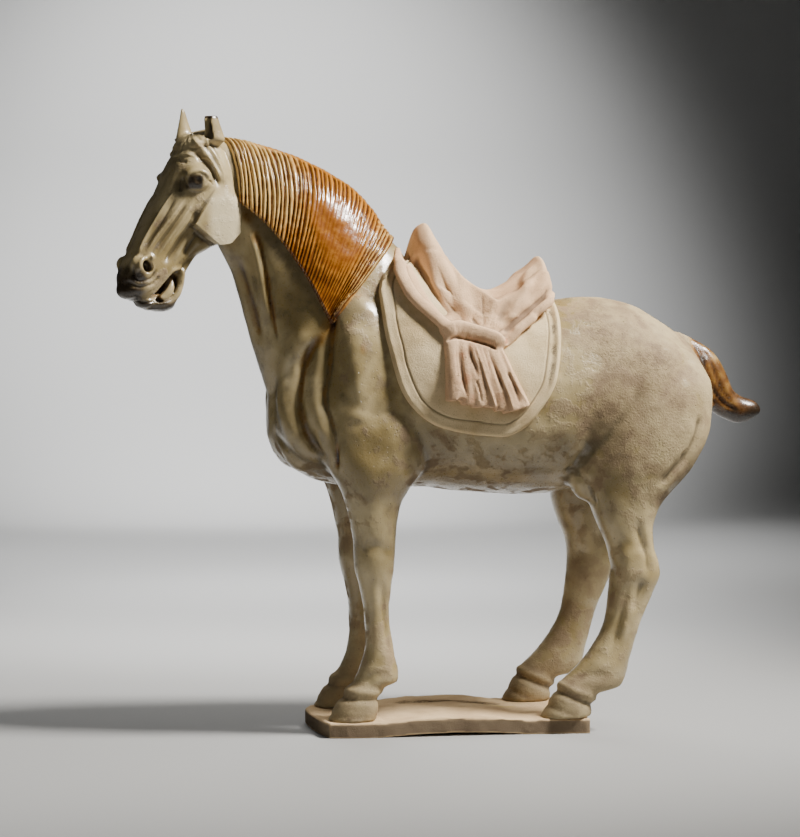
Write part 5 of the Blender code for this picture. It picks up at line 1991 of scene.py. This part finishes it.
@dataclass(frozen=True)
class Lamp:
    """One lamp of the studio: a square panel of this size, or a spot where it has a cone in degrees."""

    name: str
    place: Place
    aim: Place
    power: float
    size: float
    colour: Colour = (1.0, 1.0, 1.0)
    cone: float = 0.0
    soft: float = 1.0
    seen: bool = True

    def hang(self) -> None:
        """Hangs the lamp and points it; a panel isn't mirrored in the glaze."""
        data = bpy.data.lights.new(self.name, "SPOT" if self.cone else "AREA")
        data.energy, data.color = self.power, self.colour
        lamp = bpy.data.objects.new(self.name, data)
        if self.cone:
            data.spot_size, data.spot_blend = math.radians(self.cone), self.soft
            data.shadow_soft_size = self.size
        else:
            data.size = self.size
            lamp.visible_glossy, lamp.visible_camera = False, self.seen
        lamp.location = self.place
        lamp.rotation_mode = "QUATERNION"
        lamp.rotation_quaternion = (Vector(self.aim) - Vector(self.place)).to_track_quat("-Z", "Y")
        bpy.context.scene.collection.objects.link(lamp)


@dataclass
class Studio:
    """Camera, a plain pale floor that sweeps up behind the horse, and soft light."""

    turn: float = 9.8
    tilt: float = 1.95
    distance: float = 2.2
    height: float = 0.322
    aside: float = -0.038
    lens: float = 118.3
    film: float = 36
    wall_at: float = 2.9
    wall_top: float = 4.4
    bend: float = 0.64
    floor_half: float = 6.0
    paint: Colour = (0.32, 0.32, 0.316)
    sky: tuple[float, ...] = (0.80, 0.80, 0.79, 1)
    sky_strength: float = 0.02
    lamps: tuple[Lamp, ...] = (
        Lamp("key", (1.25, -0.52, 1.93), (0, 0, 0.27), 630, 0.25, (1.0, 0.97, 0.92), 40, 0.8),
        Lamp("fill", (-1.5, -1.6, 1.0), (0, 0, 0.25), 5, 1.0, (0.96, 0.98, 1.0)),
        Lamp("rim", (0.10, 1.15, 0.95), (0, 0, 0.15), 17, 0.7, (1.0, 0.99, 0.97), seen=False),
        Lamp("glow", (0.20, 1.34, 1.78), (0.17, 2.9, 0.29), 605, 0.15, cone=54),
        Lamp("pool", (0.0, 0.60, 1.6), (0.0, 0.82, 0.0), 170, 0.15, cone=46),
        Lamp("back_floor", (0.10, 1.50, 1.7), (0.12, 1.76, 0.0), 265, 0.15, cone=66),
    )

    def camera(self, shift: Vector) -> None:
        """Stands the camera at the photograph's angle.

        Args:
            shift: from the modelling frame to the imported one.
        """
        a, e = math.radians(self.turn), math.radians(self.tilt)
        data = bpy.data.cameras.new("camera")
        data.lens, data.sensor_width = self.lens, self.film
        camera = bpy.data.objects.new("camera", data)
        camera.location = Vector((self.aside - self.distance * math.sin(a) + shift.x,
                                  -self.distance * math.cos(a) + shift.y, self.height))
        ahead = Vector((math.sin(a) * math.cos(e), math.cos(a) * math.cos(e), -math.sin(e)))
        camera.rotation_mode = "QUATERNION"
        camera.rotation_quaternion = ahead.to_track_quat("-Z", "Y")
        bpy.context.scene.collection.objects.link(camera)
        bpy.context.scene.camera = camera

    def floor(self) -> None:
        """Lays a pale floor that sweeps up into a wall behind the horse."""
        start = self.wall_at - self.bend
        profile = [(-self.floor_half, 0.0)]
        for turn in np.linspace(0, math.pi / 2, 25):
            profile.append((start + self.bend * math.sin(turn), self.bend - self.bend * math.cos(turn)))
        profile.append((self.wall_at, self.wall_top))
        bm = bmesh.new()
        rows = [[bm.verts.new((x, y, z)) for x in (-self.floor_half, self.floor_half)] for y, z in profile]
        for near, back in zip(rows, rows[1:]):
            bm.faces.new((near[0], near[1], back[1], back[0]))
        mesh = bpy.data.meshes.new("floor")
        bm.to_mesh(mesh)
        bm.free()
        mesh.shade_smooth()
        floor = bpy.data.objects.new("floor", mesh)
        bpy.context.scene.collection.objects.link(floor)
        n = Nodes("floor_paint")
        mesh.materials.append(n.done(self.paint, 0.7, n.bump(n.noise(0.02), 0.0002, 0.1)))

    def set_up(self, shift: Vector) -> None:
        """Builds the whole studio.

        Args:
            shift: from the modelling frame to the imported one.
        """
        self.camera(shift)
        self.floor()
        for lamp in self.lamps:
            lamp.hang()
        world = bpy.data.worlds.new("studio")
        world.use_nodes = True
        sky = world.node_tree.nodes["Background"]
        sky.inputs["Color"].default_value = self.sky
        sky.inputs["Strength"].default_value = self.sky_strength
        bpy.context.scene.world = world


def show(clay: Clay, name: str, node: str, finish: Material, stance: Stance,
         shift: Vector) -> None:
    """Sets one piece in the scene and reports it.

    Args:
        clay: the worked skin.
        name: the piece's name.
        node: the CAD node that it stands for.
        finish: its material.
        stance: gives the size of a part.
        shift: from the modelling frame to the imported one.
    """
    piece = clay.to_piece(name, stance, shift, node)
    piece.data.materials.clear()
    piece.data.materials.append(finish)
    triangles = sum(len(p.vertices) - 2 for p in piece.data.polygons)
    LOG.info("%s: %d triangles", name, triangles)


def main() -> None:
    """Builds each sub-assembly in order."""
    logging.basicConfig(level=logging.INFO, format="%(name)s %(relativeCreated)6d ms: %(message)s")
    stance, body = Stance(), Body()
    shift = stance.shift(body.fore_leg[-1][1], -body.hind_leg[-1][3] + body.hind_leg[-1][4])
    Studio().set_up(shift)
    straw = StrawGlaze().material()
    rose = BareClay("rose_clay", (0.76, 0.50, 0.29), (0.56, 0.345, 0.19), (0.15, 0.09, 0.05),
                    (0.50, 0.20, 0.09), 0.0011, 0.0007)
    buff = BareClay("buff_cloth", (0.72, 0.56, 0.32), (0.56, 0.41, 0.21), (0.18, 0.13, 0.07),
                    (0.50, 0.32, 0.13), 0.0010, 0.0006)
    # The slab's deep colour also paints the shade on its sides
    tan = BareClay("slab_clay", (0.60, 0.43, 0.24), (0.46, 0.315, 0.17), (0.06, 0.042, 0.026),
                   (0.42, 0.31, 0.05))
    trunk = body.build()
    trunk.write()
    lowest = float(trunk.points[:, 2].min())
    soles = shift - Vector((0, 0, lowest * stance.part + stance.lute_gap))
    LOG.info("soles at %.2f", lowest)
    skin = surface_of(trunk.mesh)
    mane = Mane().build(body, skin)
    cloth = SaddleCloth().build(skin)
    saddle = Saddle().build(trunk, cloth)
    head = Head().build()
    slab = BaseSlab().build(body, stance)
    show(trunk, "horse_body", "horse", straw, stance, soles)
    show(head, "horse_head", "horse", straw, stance, soles)
    show(mane, "horse_mane", "horse", ManeGlaze().material(), stance, soles)
    show(cloth, "saddle_cloth", "horse", buff.material(), stance, soles)
    show(saddle, "saddle", "horse", rose.material(), stance, soles)
    show(slab, "slab", "base_slab", tan.material(), stance, shift)


if __name__ == "__main__":
    main()
